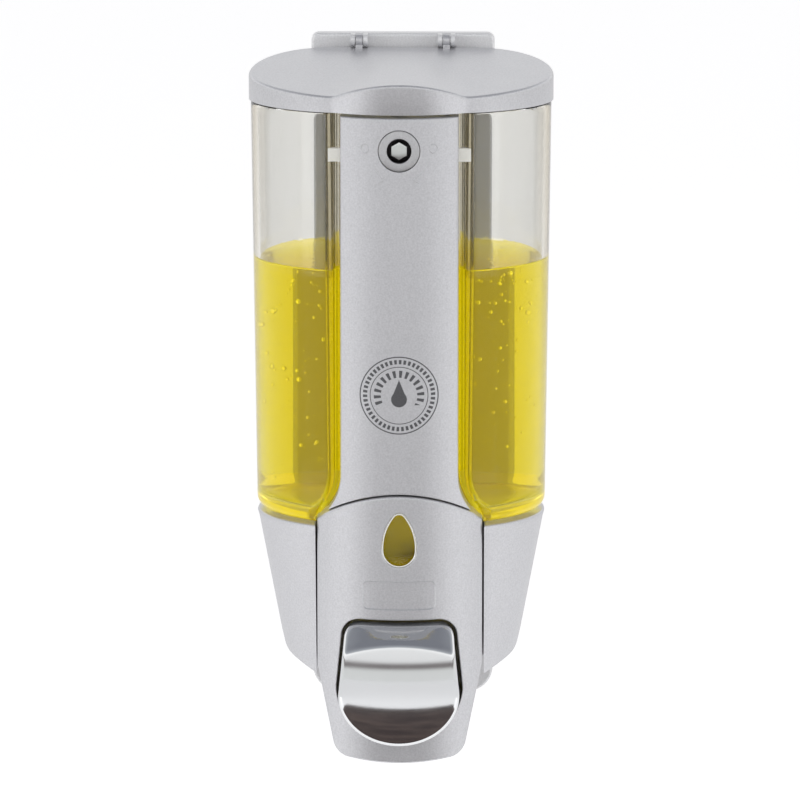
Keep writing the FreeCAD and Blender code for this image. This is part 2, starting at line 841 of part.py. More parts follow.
def lock_cam():
    y1 = cam_front_y + cam_wall
    hub = rod_y(cam_hub_radius, 0, lock_z, cam_front_y, y1)
    arm = box(-cam_half_width, cam_half_width, cam_front_y, y1, lock_z, lock_z + cam_reach)
    return clean(hub.fuse(arm).cut(rod_y(cam_screw_radius + seat_play, 0, lock_z, -FAR, 0)))


def lock_cam_screw():
    rear = cam_front_y + cam_wall
    head = rod_y(cam_head_radius, 0, lock_z, rear, rear + cam_head_height)
    shank = rod_y(cam_screw_radius, 0, lock_z, rear - cam_screw_length + seat_play, rear)
    slot = box(-cam_head_radius, cam_head_radius, rear + cam_head_height / 2, 0,
               lock_z - screw_slot / 2, lock_z + screw_slot / 2)
    return clean(head.fuse(shank).cut(slot))


def lock_retainer():
    """A sprung U-clip in the barrel's groove, whose arms reach out of the column's sides."""
    y0 = lock_boss_rear_y
    y1 = y0 + retainer_wall
    top = lock_z - retainer_arm_drop
    arms = box(-retainer_half_width, retainer_half_width, y0, y1, top - retainer_arm_height, top)
    clip = rod_y(retainer_ring_radius, 0, lock_z, y0, y1).fuse(arms)
    hole = lock_shaft_radius - lock_groove_depth + running
    clip = clip.cut([rod_y(hole, 0, lock_z, -FAR, 0), box(-hole, hole, -FAR, 0, lock_z, FAR)])
    return clean(clip.common(groove_tool(-panel_gap)))


# ---- front cover ----
def cover_form(wall):
    rear = bulkhead_y + (PAST if wall else 0)
    form = prism_y(cover_outline(wall), -FAR, rear)
    grow = column_half_width - groove_half_width - wall
    shoulders = flared_outline(grow, arch_top + arch_radius, cover_bottom - arch_radius)
    shoulders = prism_y(shoulders, -FAR, rear)
    front = skin(wall, -FAR, FAR).fuse(box(-FAR, FAR, skin_axis_y, 0, -FAR, FAR))
    return form.common(shoulders).common(front)


def cover_posts():
    posts = []
    for x, z in (cover_post_upper, cover_post_lower):
        for s in (1, -1):
            posts.append(rod_y(cover_post_radius, s * x, z, cover_post_front_y, bulkhead_y))
    return posts


def front_cover():
    outer = cover_form(0)
    shell = outer.cut(cover_form(cover_wall))
    ring_rear = skin_front + cover_wall + guide_depth
    ring = prism_y(button_outline(button_gap + guide_wall), skin_front, ring_rear)
    lug_z = column_boss_bottom
    lugs = [box(min(s * (column_boss_x - column_boss_radius), s * cover_half_width),
                max(s * (column_boss_x - column_boss_radius), s * cover_half_width),
                column_boss_y - cover_lug_half_depth, column_boss_y + cover_lug_half_depth,
                lug_z - cover_lug_wall, lug_z) for s in (1, -1)]
    extras = [piece.common(outer) for piece in cover_posts() + lugs + [ring]]
    shell = shell.fuse(extras)
    above = box(-FAR, FAR, -FAR, FAR, arch_top - arch_radius, FAR).cut(below_arch(0))
    name_y = rounded_box_y(nameplate_half_width, nameplate_bottom, nameplate_top, nameplate_corner,
                           -FAR, skin_axis_y).cut(skin(nameplate_depth, -FAR, FAR))
    egg = egg_outline(window_fit)
    cuts = [
        above,
        box(-FAR, FAR, groove_floor_y - panel_gap, FAR, tank_bottom - shadow_gap, FAR),
        prism_y(button_outline(button_gap), -FAR, ring_rear + PAST),
        prism_y(egg, -FAR, skin_axis_y),
        name_y,
        rod_z(nozzle_tip_radius + nozzle_clearance, 0, port_y, -FAR, cover_bottom + 2 * cover_wall),
    ]
    for x, z in (cover_post_upper, cover_post_lower):
        for s in (1, -1):
            cuts.append(rod_y(screw_radius + seat_play, s * x, z, bulkhead_y - screw_length, 0))
    for s in (1, -1):
        cuts.append(rod_z(screw_radius + seat_play, s * column_boss_x, column_boss_y,
                          lug_z - 2 * cover_lug_wall, lug_z + PAST))
    return clean(shell.cut(cuts))


def cover_screws():
    face = bulkhead_y + bulkhead_wall
    posts = (cover_post_upper, cover_post_lower)
    return [screw_y(s * x, z, face, -1) for x, z in posts for s in (1, -1)]


def sight_window():
    """A clear egg-shaped lens with a flange behind the cover."""
    lens = prism_y(egg_outline(0), -FAR, skin_axis_y)
    lens = lens.common(skin(window_sink, -FAR, FAR)).cut(skin(cover_wall, -FAR, FAR))
    back = cover_wall + seat_play
    flange = prism_y(egg_outline(window_flange), -FAR, skin_axis_y)
    flange = flange.common(skin(cover_wall, -FAR, FAR))
    flange = flange.cut(skin(cover_wall + sump_gap - seat_play, -FAR, FAR))
    trim = flange.cut(skin(back, -FAR, FAR)).cut(prism_y(egg_outline(0), -FAR, skin_axis_y))
    return clean(lens.fuse(flange).cut(trim))


# ---- base housing ----
def base_form(wall, z_top):
    """The base's outer form down to its rounded foot, or with wall the space inside it."""
    top_inset = tank_inset + tank_draft + wall
    low = base_bottom + wall
    spread = base_taper * (tank_bottom - low)
    return body_prism(top_inset - base_taper * (z_top - tank_bottom), top_inset + spread, rear_y - wall,
                      z_top, low)


def below_wings(wall):
    """What lies under the wings' rising underside, raised by wall for the space inside."""
    channel_w = cover_half_width + shadow_gap
    under = Vector(1, 0, base_rise).normalize()
    side = Vector(base_taper, 0, 1).normalize()
    bend = Vector(channel_w, 0, base_bottom + wall * math.hypot(1, base_rise))
    form = base_form(wall, tank_bottom).BoundBox
    gap = Vector(form.XMax, 0, form.ZMax) - bend
    along = (gap.x * side.z - gap.z * side.x) / (under.x * side.z - under.z * side.x)
    corner = bend + under * along
    radius = base_round - wall / 2
    reach = radius * math.tan(under.getAngle(side) / 2)
    start = corner - under * reach
    end = corner + side * reach
    centre = start + Vector(-under.z, 0, under.x) * radius
    middle = centre + (corner - centre).normalize() * radius
    below = box(-channel_w - PAST, channel_w + PAST, -FAR, FAR, -FAR, bend.z)
    for s in (1, -1):
        points = [Vector(s * v.x, 0, v.z) for v in (bend, start, middle, end)]
        rest = [points[3], Vector(s * FAR, 0, end.z), Vector(s * FAR, 0, -FAR),
                Vector(s * channel_w, 0, -FAR), points[0]]
        edges = [line(points[0], points[1]), arc(*points[1:])]
        edges += [line(a, b) for a, b in zip(rest, rest[1:])]
        below = below.fuse(prism_y(Part.Wire(Part.__sortEdges__(edges)), -FAR, FAR))
    return below


def base_housing():
    top = tank_bottom - shadow_gap
    outer = base_form(0, top).cut(below_wings(0))
    inner = base_form(base_wall, top + PAST).cut(below_wings(base_wall))
    channel_w = cover_half_width + shadow_gap
    channel = box(-channel_w, channel_w, -FAR, bulkhead_y, -FAR, FAR)
    side_w = channel_w + base_wall
    walls = box(-side_w, side_w, -FAR, bulkhead_y + bulkhead_wall, -FAR, top)
    shell = outer.cut(inner).fuse(walls.common(outer)).cut(channel)
    plate = prism_y(cover_outline(0), bulkhead_y, bulkhead_y + bulkhead_wall)
    plate = plate.cut(box(-FAR, FAR, -FAR, FAR, top, FAR))
    boss_rear = bulkhead_y + screw_length - pump_foot_wall
    bosses = [rod_y(cover_post_radius, s * pump_screw_x, pump_z, bulkhead_y, boss_rear)
              for s in (1, -1)]
    hangers = [hanger(hook_x, base_hook_z), hanger(-hook_x, base_hook_z)]
    shell = shell.fuse([plate] + bosses + hangers)
    holes = [rod_y(screw_radius + seat_play, s * pump_screw_x, pump_z, -FAR,
                   bulkhead_y - pump_foot_wall + screw_length) for s in (1, -1)]
    for x, z in (cover_post_upper, cover_post_lower):
        holes += [rod_y(screw_radius + seat_play, s * x, z, -FAR, rear_y - base_wall - PAST)
                  for s in (1, -1)]
    return clean(shell.cut(holes))


# ---- push button ----
def button_face(wall):
    """The solid behind the button's crowned face and its sloping top, set back by wall."""
    r = button_face_radius - wall
    crest = button_crest_y + wall
    z0 = button_centre_z - button_low_height - button_wall
    z1 = button_top + button_wall

    def at(z):
        return Vector(0, crest + r - math.sqrt(r * r - (z - button_crest_z) ** 2), z)

    axis_y = button_crest_y + button_face_crown
    profile = Part.Wire([arc(at(z0), at(button_crest_z), at(z1)), line(at(z1), Vector(0, axis_y, z1)),
                         line(Vector(0, axis_y, z1), Vector(0, axis_y, z0)),
                         line(Vector(0, axis_y, z0), at(z0))])
    face = Part.Face(profile).revolve(Vector(0, axis_y, 0), Vector(0, 0, 1), 360)
    a = math.radians(button_facet_angle)
    along = Vector(0, -math.cos(a), -math.sin(a))
    up = Vector(0, -math.sin(a), math.cos(a))
    top = Vector(0, button_facet_y, button_top) - up * (button_facet_radius + wall)
    facet = Part.makeCylinder(button_facet_radius, 2 * FAR, top - along * FAR, along)
    return face.common(facet)


def push_button():
    outer = prism_y(button_outline(0), button_crest_y - PAST, button_rear_y).common(button_face(0))
    hollow = prism_y(button_outline(-button_wall), button_crest_y - PAST, button_rear_y + PAST)
    hollow = hollow.common(button_face(button_wall))
    boss = rod_y(button_boss_radius, 0, pump_z, button_crest_y, button_boss_rear_y).common(outer)
    socket = rod_y(rod_radius + seat_play, 0, pump_z, button_boss_rear_y - button_socket_depth, 0)
    return clean(outer.cut(hollow).fuse(boss).cut(socket))


# ---- pump ----
def pump_body():
    """Cylinder with its foot, the inlet port with the tank's flange above, and the outlet below."""
    body = rod_y(pump_radius, 0, pump_z, pump_front_y, bulkhead_y)
    foot = rounded_box_y(pump_foot_half_width, pump_z - pump_foot_height, pump_z + pump_foot_height,
                         pump_foot_corner, bulkhead_y - pump_foot_wall, bulkhead_y)
    flange_top = neck_bottom - gasket_wall
    port = rod_z(port_radius, 0, port_y, pump_z, flange_top)
    flange = rod_z(neck_radius, 0, port_y, flange_top - flange_wall, flange_top)
    outlet = rod_z(nozzle_radius, 0, port_y, nozzle_seat_z, pump_z)
    body = body.fuse([foot, port, flange, outlet])
    seat = flange_top - flange_wall
    cuts = [
        rod_y(pump_bore, 0, pump_z, pump_front_y - PAST, bulkhead_y - pump_end_wall),
        rod_z(valve_hole, 0, port_y, nozzle_seat_z - PAST, flange_top + PAST),
        rod_z(valve_bore, 0, port_y, seat - valve_length, seat),
    ]
    for s in (1, -1):
        cuts.append(rod_y(screw_radius + seat_play, s * pump_screw_x, pump_z, -FAR, 0))
    return clean(body.cut(cuts))


def pump_screws():
    return [screw_y(s * pump_screw_x, pump_z, bulkhead_y - pump_foot_wall, 1) for s in (1, -1)]


def pump_cap():
    """The plug that closes the cylinder's front and guides the rod."""
    body = rod_y(pump_radius, 0, pump_z, pump_front_y - gland_wall, pump_front_y)
    body = body.fuse(rod_y(pump_bore - seat_play, 0, pump_z, pump_front_y, pump_front_y + gland_plug))
    return clean(body.cut(rod_y(rod_radius + running, 0, pump_z, -FAR, 0)))


piston_front_y = pump_front_y + gland_plug + seat_play


def piston():
    front = button_boss_rear_y - button_socket_depth
    body = rod_y(rod_radius, 0, pump_z, front, piston_front_y)
    head_rear = piston_front_y + piston_length
    body = body.fuse(rod_y(pump_bore - piston_play, 0, pump_z, piston_front_y, head_rear))
    return clean(body.cut(piston_seal_ring(pump_bore)))


def piston_seal_ring(radius):
    middle = piston_front_y + piston_length / 2
    ring = rod_y(radius, 0, pump_z, middle - piston_seal_width / 2, middle + piston_seal_width / 2)
    return ring.cut(rod_y(pump_bore - piston_seal_depth, 0, pump_z, -FAR, 0))


def return_spring():
    start = piston_front_y + piston_length
    end = bulkhead_y - pump_end_wall
    spring = coil(return_spring_radius, return_spring_wire, return_spring_turns, end - start)
    spring.rotate(Vector(0, 0, 0), Vector(1, 0, 0), -90)
    spring.translate(Vector(0, start, pump_z))
    return spring


def outlet_gasket():
    ring = rod_z(neck_radius, 0, port_y, neck_bottom - gasket_wall, neck_bottom)
    return ring.cut(rod_z(neck_bore, 0, port_y, -FAR, 0))


def pump_nut():
    """The ribbed nut that draws the pump's flange up to the tank's neck."""
    lip_bottom = neck_bottom - gasket_wall - flange_wall - nut_lip
    nut = rod_z(nut_radius, 0, port_y, lip_bottom, nut_top)
    nut = nut.cut(rod_z(neck_radius + seat_play, 0, port_y, lip_bottom + nut_lip, nut_top))
    nut = nut.cut(rod_z(port_radius + panel_gap, 0, port_y, -FAR, 0))
    notches = []
    out = nut_radius + nut_notch_radius - nut_notch_depth
    for i in range(nut_notches):
        a = 2 * math.pi * i / nut_notches
        notches.append(rod_z(nut_notch_radius, out * math.cos(a), port_y + out * math.sin(a),
                             lip_bottom - PAST, nut_top + PAST))
    return clean(nut.cut(notches))


# ---- valves and nozzle ----
def ball_centre(seat_z):
    return seat_z - math.sqrt(ball_radius ** 2 - valve_hole ** 2) - seat_play


def valve_ball(seat_z):
    return Part.makeSphere(ball_radius, Vector(0, port_y, ball_centre(seat_z)))


def valve_spring(seat_z):
    top = ball_centre(seat_z) - ball_radius
    bottom = seat_z - valve_length
    spring = coil(valve_spring_radius, valve_spring_wire, valve_spring_turns, top - bottom)
    spring.translate(Vector(0, port_y, bottom))
    return spring


def nozzle():
    body = rod_z(nozzle_radius, 0, port_y, nozzle_shoulder_z + nozzle_cone_height, nozzle_seat_z)
    cone = Part.makeCone(nozzle_tip_radius, nozzle_radius, nozzle_cone_height,
                         Vector(0, port_y, nozzle_shoulder_z), Vector(0, 0, 1))
    tip = rod_z(nozzle_tip_radius, 0, port_y, nozzle_bottom, nozzle_shoulder_z)
    body = body.fuse([cone, tip])
    cuts = [
        rod_z(valve_bore, 0, port_y, nozzle_seat_z - valve_length, nozzle_seat_z + PAST),
        rod_z(valve_hole, 0, port_y, nozzle_seat_z - valve_length - valve_ledge, nozzle_seat_z),
        rod_z(nozzle_bore, 0, port_y, nozzle_bottom - PAST, nozzle_seat_z - valve_length - valve_ledge),
    ]
    return clean(body.cut(cuts))


inlet_seat_z = neck_bottom - gasket_wall - flange_wall

save("wall_plate", wall_plate())
save("lid_hinge_pins", *hinge_pins())
save("tank", tank())
save("soap_fill", soap_fill())
save("lid", lid())
save("front_column", front_column())
save("column_screws", *column_screws())
save("lock_barrel", lock_barrel())
save("lock_cam", lock_cam())
save("lock_cam_screw", lock_cam_screw())
save("lock_retainer", lock_retainer())
save("front_cover", front_cover())
save("cover_screws", *cover_screws())
save("sight_window", sight_window())
save("base_housing", base_housing())
save("push_button", push_button())
save("pump_body", pump_body())
save("pump_screws", *pump_screws())
save("pump_cap", pump_cap())
save("piston", piston())
save("piston_seal", piston_seal_ring(pump_bore - running))
save("return_spring", return_spring())
save("tank_outlet_gasket", outlet_gasket())
save("pump_nut", pump_nut())
save("inlet_valve_ball", valve_ball(inlet_seat_z))
save("inlet_valve_spring", valve_spring(inlet_seat_z))
save("nozzle", nozzle())
save("outlet_valve_ball", valve_ball(nozzle_seat_z))
save("outlet_valve_spring", valve_spring(nozzle_seat_z))
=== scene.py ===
"""A wall mounted soap dispenser: silver moulded covers round a clear tank of yellow soap."""
import math
import random
from collections import Counter

import bmesh
import bpy
import numpy as np
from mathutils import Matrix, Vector
from mathutils.geometry import delaunay_2d_cdt


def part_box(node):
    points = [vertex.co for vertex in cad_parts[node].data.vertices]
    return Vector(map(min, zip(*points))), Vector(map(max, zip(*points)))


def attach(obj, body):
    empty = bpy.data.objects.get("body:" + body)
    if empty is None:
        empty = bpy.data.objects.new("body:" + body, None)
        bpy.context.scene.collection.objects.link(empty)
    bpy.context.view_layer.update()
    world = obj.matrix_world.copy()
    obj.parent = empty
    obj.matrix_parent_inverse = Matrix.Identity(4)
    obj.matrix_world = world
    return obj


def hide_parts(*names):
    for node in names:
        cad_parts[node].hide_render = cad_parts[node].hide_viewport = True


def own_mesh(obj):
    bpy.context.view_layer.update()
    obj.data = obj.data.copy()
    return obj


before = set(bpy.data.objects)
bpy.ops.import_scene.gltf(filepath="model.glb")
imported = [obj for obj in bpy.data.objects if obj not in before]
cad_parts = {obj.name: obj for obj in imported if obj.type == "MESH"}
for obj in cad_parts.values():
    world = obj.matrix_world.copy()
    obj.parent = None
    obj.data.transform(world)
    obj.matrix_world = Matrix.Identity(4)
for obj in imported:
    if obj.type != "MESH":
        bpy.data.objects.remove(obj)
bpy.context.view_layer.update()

# ---- Studio ----
# A pale floor well below the dispenser, a tall soft light on each side and one above. What polished
# pieces reflect is a pale room, dimmer ahead and overhead, and a dark wooden board on the floor.
mm = 0.001
scene = bpy.context.scene
scene.view_settings.view_transform = "Standard"

camera_distance = 1.5
camera_azimuth = math.radians(0.9)
camera_elevation = math.radians(10.5)
camera_target = Vector((-0.0003, -0.036, -0.0035))
back = Vector((math.sin(camera_azimuth) * math.cos(camera_elevation),
               -math.cos(camera_azimuth) * math.cos(camera_elevation), math.sin(camera_elevation)))
camera = bpy.data.objects.new("camera", bpy.data.cameras.new("camera"))
camera.data.lens = 255.8
camera.data.sensor_width = 36.0
camera.location = camera_target + back * camera_distance
camera.rotation_mode = "QUATERNION"
camera.rotation_quaternion = (-back).to_track_quat("-Z", "Y")
scene.collection.objects.link(camera)
scene.camera = camera


def soft_light(name, place, width, height, power):
    """A large lamp that points at the dispenser and doesn't show in polished pieces."""
    lamp = bpy.data.lights.new(name, "AREA")
    lamp.shape = "RECTANGLE"
    lamp.size, lamp.size_y = width, height
    lamp.energy = power
    light = bpy.data.objects.new(name, lamp)
    light.location = place
    light.rotation_mode = "QUATERNION"
    light.rotation_quaternion = (Vector((0, -0.04, 0)) - Vector(place)).to_track_quat("-Z", "Y")
    light.visible_glossy = False
    scene.collection.objects.link(light)


soft_light("light_left", (-1.3, -0.75, 0.25), 0.7, 1.3, 7.5)
soft_light("light_right", (1.3, -0.75, 0.25), 0.7, 1.3, 6.4)
soft_light("light_top", (0, -0.75, 1.35), 1.2, 0.5, 6.3)


def added(tree, kind, inputs=(), **settings):
    """A new node in a tree, with its own settings, and its inputs set to values or wired to outputs."""
    node = tree.nodes.new("ShaderNode" + kind)
    for name, value in settings.items():
        setattr(node, name, value)
    for socket, value in dict(inputs).items():
        if isinstance(value, bpy.types.NodeSocket):
            tree.links.new(value, node.inputs[socket])
        else:
            node.inputs[socket].default_value = value
    return node


def sums_in(tree):
    """A function that adds one sum to a tree, such as maths("ADD", a, b), and gives its result."""
    def maths(kind, *terms):
        return added(tree, "Math", enumerate(terms), operation=kind).outputs["Value"]
    return maths


def shaded_by(tree, value, stops):
    """The colour that a value picks between stops of (value, colour)."""
    ramp = added(tree, "ValToRGB", {"Fac": value})
    elements = ramp.color_ramp.elements
    for place, colour in stops:
        elements.new(place).color = (*colour, 1)
    elements.remove(elements[0])
    elements.remove(elements[-1])
    return ramp.outputs["Color"]


def mixed(tree, share, plain, other):
    """Two colours mixed: a share of 0 gives the plain one, and 1 the other."""
    return added(tree, "Mix", {"Factor": share, "A": plain, "B": other}, data_type="RGBA").outputs["Result"]


def bare_finish(name, **inputs):
    """A material whose shader has these inputs set, the spaces in their names written as underscores."""
    material = bpy.data.materials.new(name)
    material.use_nodes = True
    for key, value in inputs.items():
        material.node_tree.nodes["Principled BSDF"].inputs[key.replace("_", " ")].default_value = value
    return material


def feed(material, **wires):
    """Wires outputs to the inputs of a material's shader."""
    tree = material.node_tree
    for key, output in wires.items():
        tree.links.new(output, tree.nodes["Principled BSDF"].inputs[key.replace("_", " ")])


world = bpy.data.worlds.new("studio")
world.use_nodes = True
scene.world = world
sky = world.node_tree
rays = added(sky, "LightPath").outputs
toward = added(sky, "SeparateXYZ", {"Vector": added(sky, "TexCoord").outputs["Generated"]}).outputs
sky_height = added(sky, "MapRange", {"Value": toward["Z"], "From Min": -1.0, "From Max": 1.0})
room = shaded_by(sky, sky_height.outputs["Result"], (
    (0.40, (0.82, 0.83, 0.82)), (0.520, (0.82, 0.83, 0.82)), (0.530, (0.20, 0.18, 0.18)),
    (0.540, (0.20, 0.18, 0.18)), (0.552, (0.95, 0.95, 0.95)), (0.72, (1.15, 1.15, 1.15)),
    (0.80, (0.48, 0.50, 0.53)), (0.95, (0.22, 0.23, 0.26))))
sky_ahead = added(sky, "MapRange", {"Value": toward["Y"], "From Min": -1.0, "From Max": -0.55,
                                    "To Min": 0.92, "To Max": 1.0}, interpolation_type="SMOOTHSTEP")
reflected = added(sky, "VectorMath", {0: room, "Scale": sky_ahead.outputs["Result"]}, operation="SCALE")
plain_light = mixed(sky, rays["Is Glossy Ray"], (0.52, 0.52, 0.53, 1), reflected.outputs["Vector"])
is_seen = sums_in(sky)("MAXIMUM", rays["Is Camera Ray"], rays["Is Transmission Ray"])
sky.links.new(mixed(sky, is_seen, plain_light, (1, 1, 1, 1)), sky.nodes["Background"].inputs["Color"])


def flat_sheet(name, x0, x1, y0, y1, z, material):
    """A level sheet of the studio."""
    mesh = bpy.data.meshes.new(name)
    mesh.from_pydata([(x0, y0, z), (x1, y0, z), (x1, y1, z), (x0, y1, z)], [], [(0, 1, 2, 3)])
    mesh.materials.append(material)
    sheet = bpy.data.objects.new(name, mesh)
    scene.collection.objects.link(sheet)
    return sheet


# The floor is white to the eye but still takes the shadow, and it shows from above only.
floor_white = bare_finish("floor_white", Base_Color=(0.82, 0.82, 0.82, 1), Roughness=0.9,
                          Specular_IOR_Level=0.1, Emission_Color=(1, 1, 1, 1))
floor_tree = floor_white.node_tree
floor_maths = sums_in(floor_tree)
rays = added(floor_tree, "LightPath").outputs
is_seen = floor_maths("MAXIMUM", rays["Is Camera Ray"], rays["Is Transmission Ray"])
seen_glow = floor_maths("MULTIPLY", is_seen, 0.55)
feed(floor_white, Emission_Strength=floor_maths("MULTIPLY_ADD", rays["Is Glossy Ray"], 0.40, seen_glow))
one_sided = added(floor_tree, "MixShader", {"Fac": added(floor_tree, "NewGeometry").outputs["Backfacing"],
                                            1: floor_tree.nodes["Principled BSDF"].outputs["BSDF"],
                                            2: added(floor_tree, "BsdfTransparent").outputs["BSDF"]})
floor_tree.links.new(one_sided.outputs["Shader"], floor_tree.nodes["Material Output"].inputs["Surface"])
floor_height = -0.36
flat_sheet("floor", -8, 8, -8, 12, floor_height, floor_white)

board_wood = bare_finish("board_wood", Roughness=0.8)
board_tree = board_wood.node_tree
along_board = added(board_tree, "Mapping", {"Vector": added(board_tree, "TexCoord").outputs["Object"],
                                            "Scale": (3.0, 26.0, 1.0)})
streaks = added(board_tree, "TexNoise", {"Vector": along_board.outputs["Vector"], "Scale": 1.4,
                                         "Detail": 6.0})
feed(board_wood, Base_Color=shaded_by(board_tree, streaks.outputs["Fac"], (
    (0.40, (0.030, 0.018, 0.018)), (0.72, (0.14, 0.10, 0.085)))))
board = flat_sheet("board", -0.6, 0.6, -1.27, -0.35, floor_height + 0.004, board_wood)
for ray in ("camera", "diffuse", "transmission", "shadow"):
    setattr(board, "visible_" + ray, False)


# ---- Lid ----
# A thin moulding of silver painted plastic that caps the tank. Its flat top falls gently to the front,
# where a raised crown runs out over the column as a rounded nose. Two knuckles hinge it to the plate.
def box_mm(node):
    """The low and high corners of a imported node, in millimetres."""
    low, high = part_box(node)
    return np.array(low) / mm, np.array(high) / mm


half_width = box_mm("lid")[1][0]
widest_y = -36.0
front_depth = 33.2
rear_corner = 20.8
skin_radius = 27.6
skin_axis_y = -43.9
tank_top = box_mm("tank")[1][2]
lid_bottom = tank_top + 0.3
lid_rear_y = -6.0


def between(a, b, count):
    """Points from a to just before b."""
    t = np.linspace(0, 1, count + 1)[:-1, None]
    return np.asarray(a, float) * (1 - t) + np.asarray(b, float) * t


def curved(centre, rx, ry, start, end, count):
    """Points on an ellipse's arc, without its last one."""
    t = np.radians(np.linspace(start, end, count + 1)[:-1])
    return np.column_stack([centre[0] + rx * np.cos(t), centre[1] + ry * np.sin(t)])


def with_mirror(right):
    """A closed line from its right half, which starts and ends on the middle line."""
    right = np.asarray(right, float)
    left = right[-2:0:-1] * (-1, 1)
    return np.vstack([right, left])


def spaced(line, step, corner=14.0):
    """The closed line with points about step apart, its corners kept."""
    line = np.asarray(line, float)
    ahead = np.roll(line, -1, 0) - line
    behind = np.roll(ahead, 1, 0)
    turn = np.degrees(np.arctan2(behind[:, 0] * ahead[:, 1] - behind[:, 1] * ahead[:, 0],
                                 (behind * ahead).sum(1)))
    keep = [i for i in range(len(line)) if abs(turn[i]) > corner] or [0]
    out = []
    for n, start in enumerate(keep):
        stop = keep[(n + 1) % len(keep)]
        span = (stop - start) % len(line) or len(line)
        run = line[[(start + k) % len(line) for k in range(span + 1)]]
        length = np.concatenate([[0], np.cumsum(np.linalg.norm(np.diff(run, axis=0), axis=1))])
        count = max(1, round(length[-1] / step))
        at = np.linspace(0, length[-1], count + 1)[:-1]
        out.append(np.column_stack([np.interp(at, length, run[:, k]) for k in (0, 1)]))
    return np.vstack(out)


def drawn_in(line, by):
    """A closed anticlockwise line moved inwards, or outwards where by is negative."""
    ahead = np.roll(line, -1, 0) - line
    ahead /= np.linalg.norm(ahead, axis=1)[:, None]
    normal = np.column_stack([-ahead[:, 1], ahead[:, 0]])
    both = normal + np.roll(normal, 1, 0)
    both /= np.linalg.norm(both, axis=1)[:, None]
    reach = np.clip((both * normal).sum(1), 0.5, 1)
    return line + both * (by / reach)[:, None]


def is_inside(line, points):
    """Which points lie inside a closed line."""
    x, y = points[:, 0], points[:, 1]
    inside = np.zeros(len(points), bool)
    for (x0, y0), (x1, y1) in zip(line, np.roll(line, -1, 0)):
        if y0 != y1:
            crosses = ((y0 > y) != (y1 > y)) & (x < (x1 - x0) * (y - y0) / (y1 - y0) + x0)
            inside ^= crosses
    return inside


def net(loops, step, extra=()):
    """Points and triangles that fill the first loop round the others. The loops' points come first."""
    edge = np.vstack(loops)
    low, high = edge.min(0), edge.max(0)
    rows = np.arange(low[1] + step / 2, high[1], step * 0.87)
    grid = [(x + (step / 2 if n % 2 else 0), y) for n, y in enumerate(rows)
            for x in np.arange(low[0], high[0], step)]
    grid = np.array(grid)
    held = np.vstack([edge, *extra]) if len(extra) else edge
    keep = is_inside(loops[0], grid)
    for hole in loops[1:]:
        keep &= ~is_inside(hole, grid)
    grid = grid[keep]
    far = np.array([np.min(((held - p) ** 2).sum(1)) for p in grid]) > (0.6 * step) ** 2
    points = np.vstack([held, grid[far]])
    lines = []
    start = 0
    for loop in [*loops, *extra]:
        lines += [(start + k, start + (k + 1) % len(loop)) for k in range(len(loop))]
        start += len(loop)
    made = delaunay_2d_cdt([Vector(p) for p in points.tolist()], lines, [], 0, 1e-6)
    first = [ids[0] for ids in made[3]]
    faces = [tuple(first[k] for k in face) for face in made[2]]
    middle = np.array([points[list(face)].mean(0) for face in faces])
    good = is_inside(loops[0], middle)
    for hole in loops[1:]:
        good &= ~is_inside(hole, middle)
    faces = [face for face, ok in zip(faces, good) if ok]
    rim = {frozenset(pair) for pair in lines}

    def sides(face):
        return [frozenset(pair) for pair in zip(face, face[1:] + face[:1])]

    def is_flat(face):
        (ax, ay), (bx, by), (cx, cy) = points[list(face[:3])]
        return abs((bx - ax) * (cy - ay) - (by - ay) * (cx - ax)) < 2e-3

    stray = True
    while stray:
        used = Counter(side for face in faces for side in sides(face))
        stray = {face for face in faces if is_flat(face)
                 and any(used[side] == (2 if side in rim else 1) for side in sides(face))}
        faces = [face for face in faces if face not in stray]
    return points, faces


def bridge(a, b, count):
    """Quads between two rings of count points that start at a and b."""
    return [(a + k, b + k, b + (k + 1) % count, a + (k + 1) % count) for k in range(count)]


def stacked(rings):
    """A form that runs through rings of as many points each, closed at both ends."""
    n = len(rings[0])
    faces = [tuple(range(n)), tuple((len(rings) - 1) * n + k for k in range(n))]
    for k in range(len(rings) - 1):
        faces += bridge(k * n, (k + 1) * n, n)
    return np.vstack(rings), faces


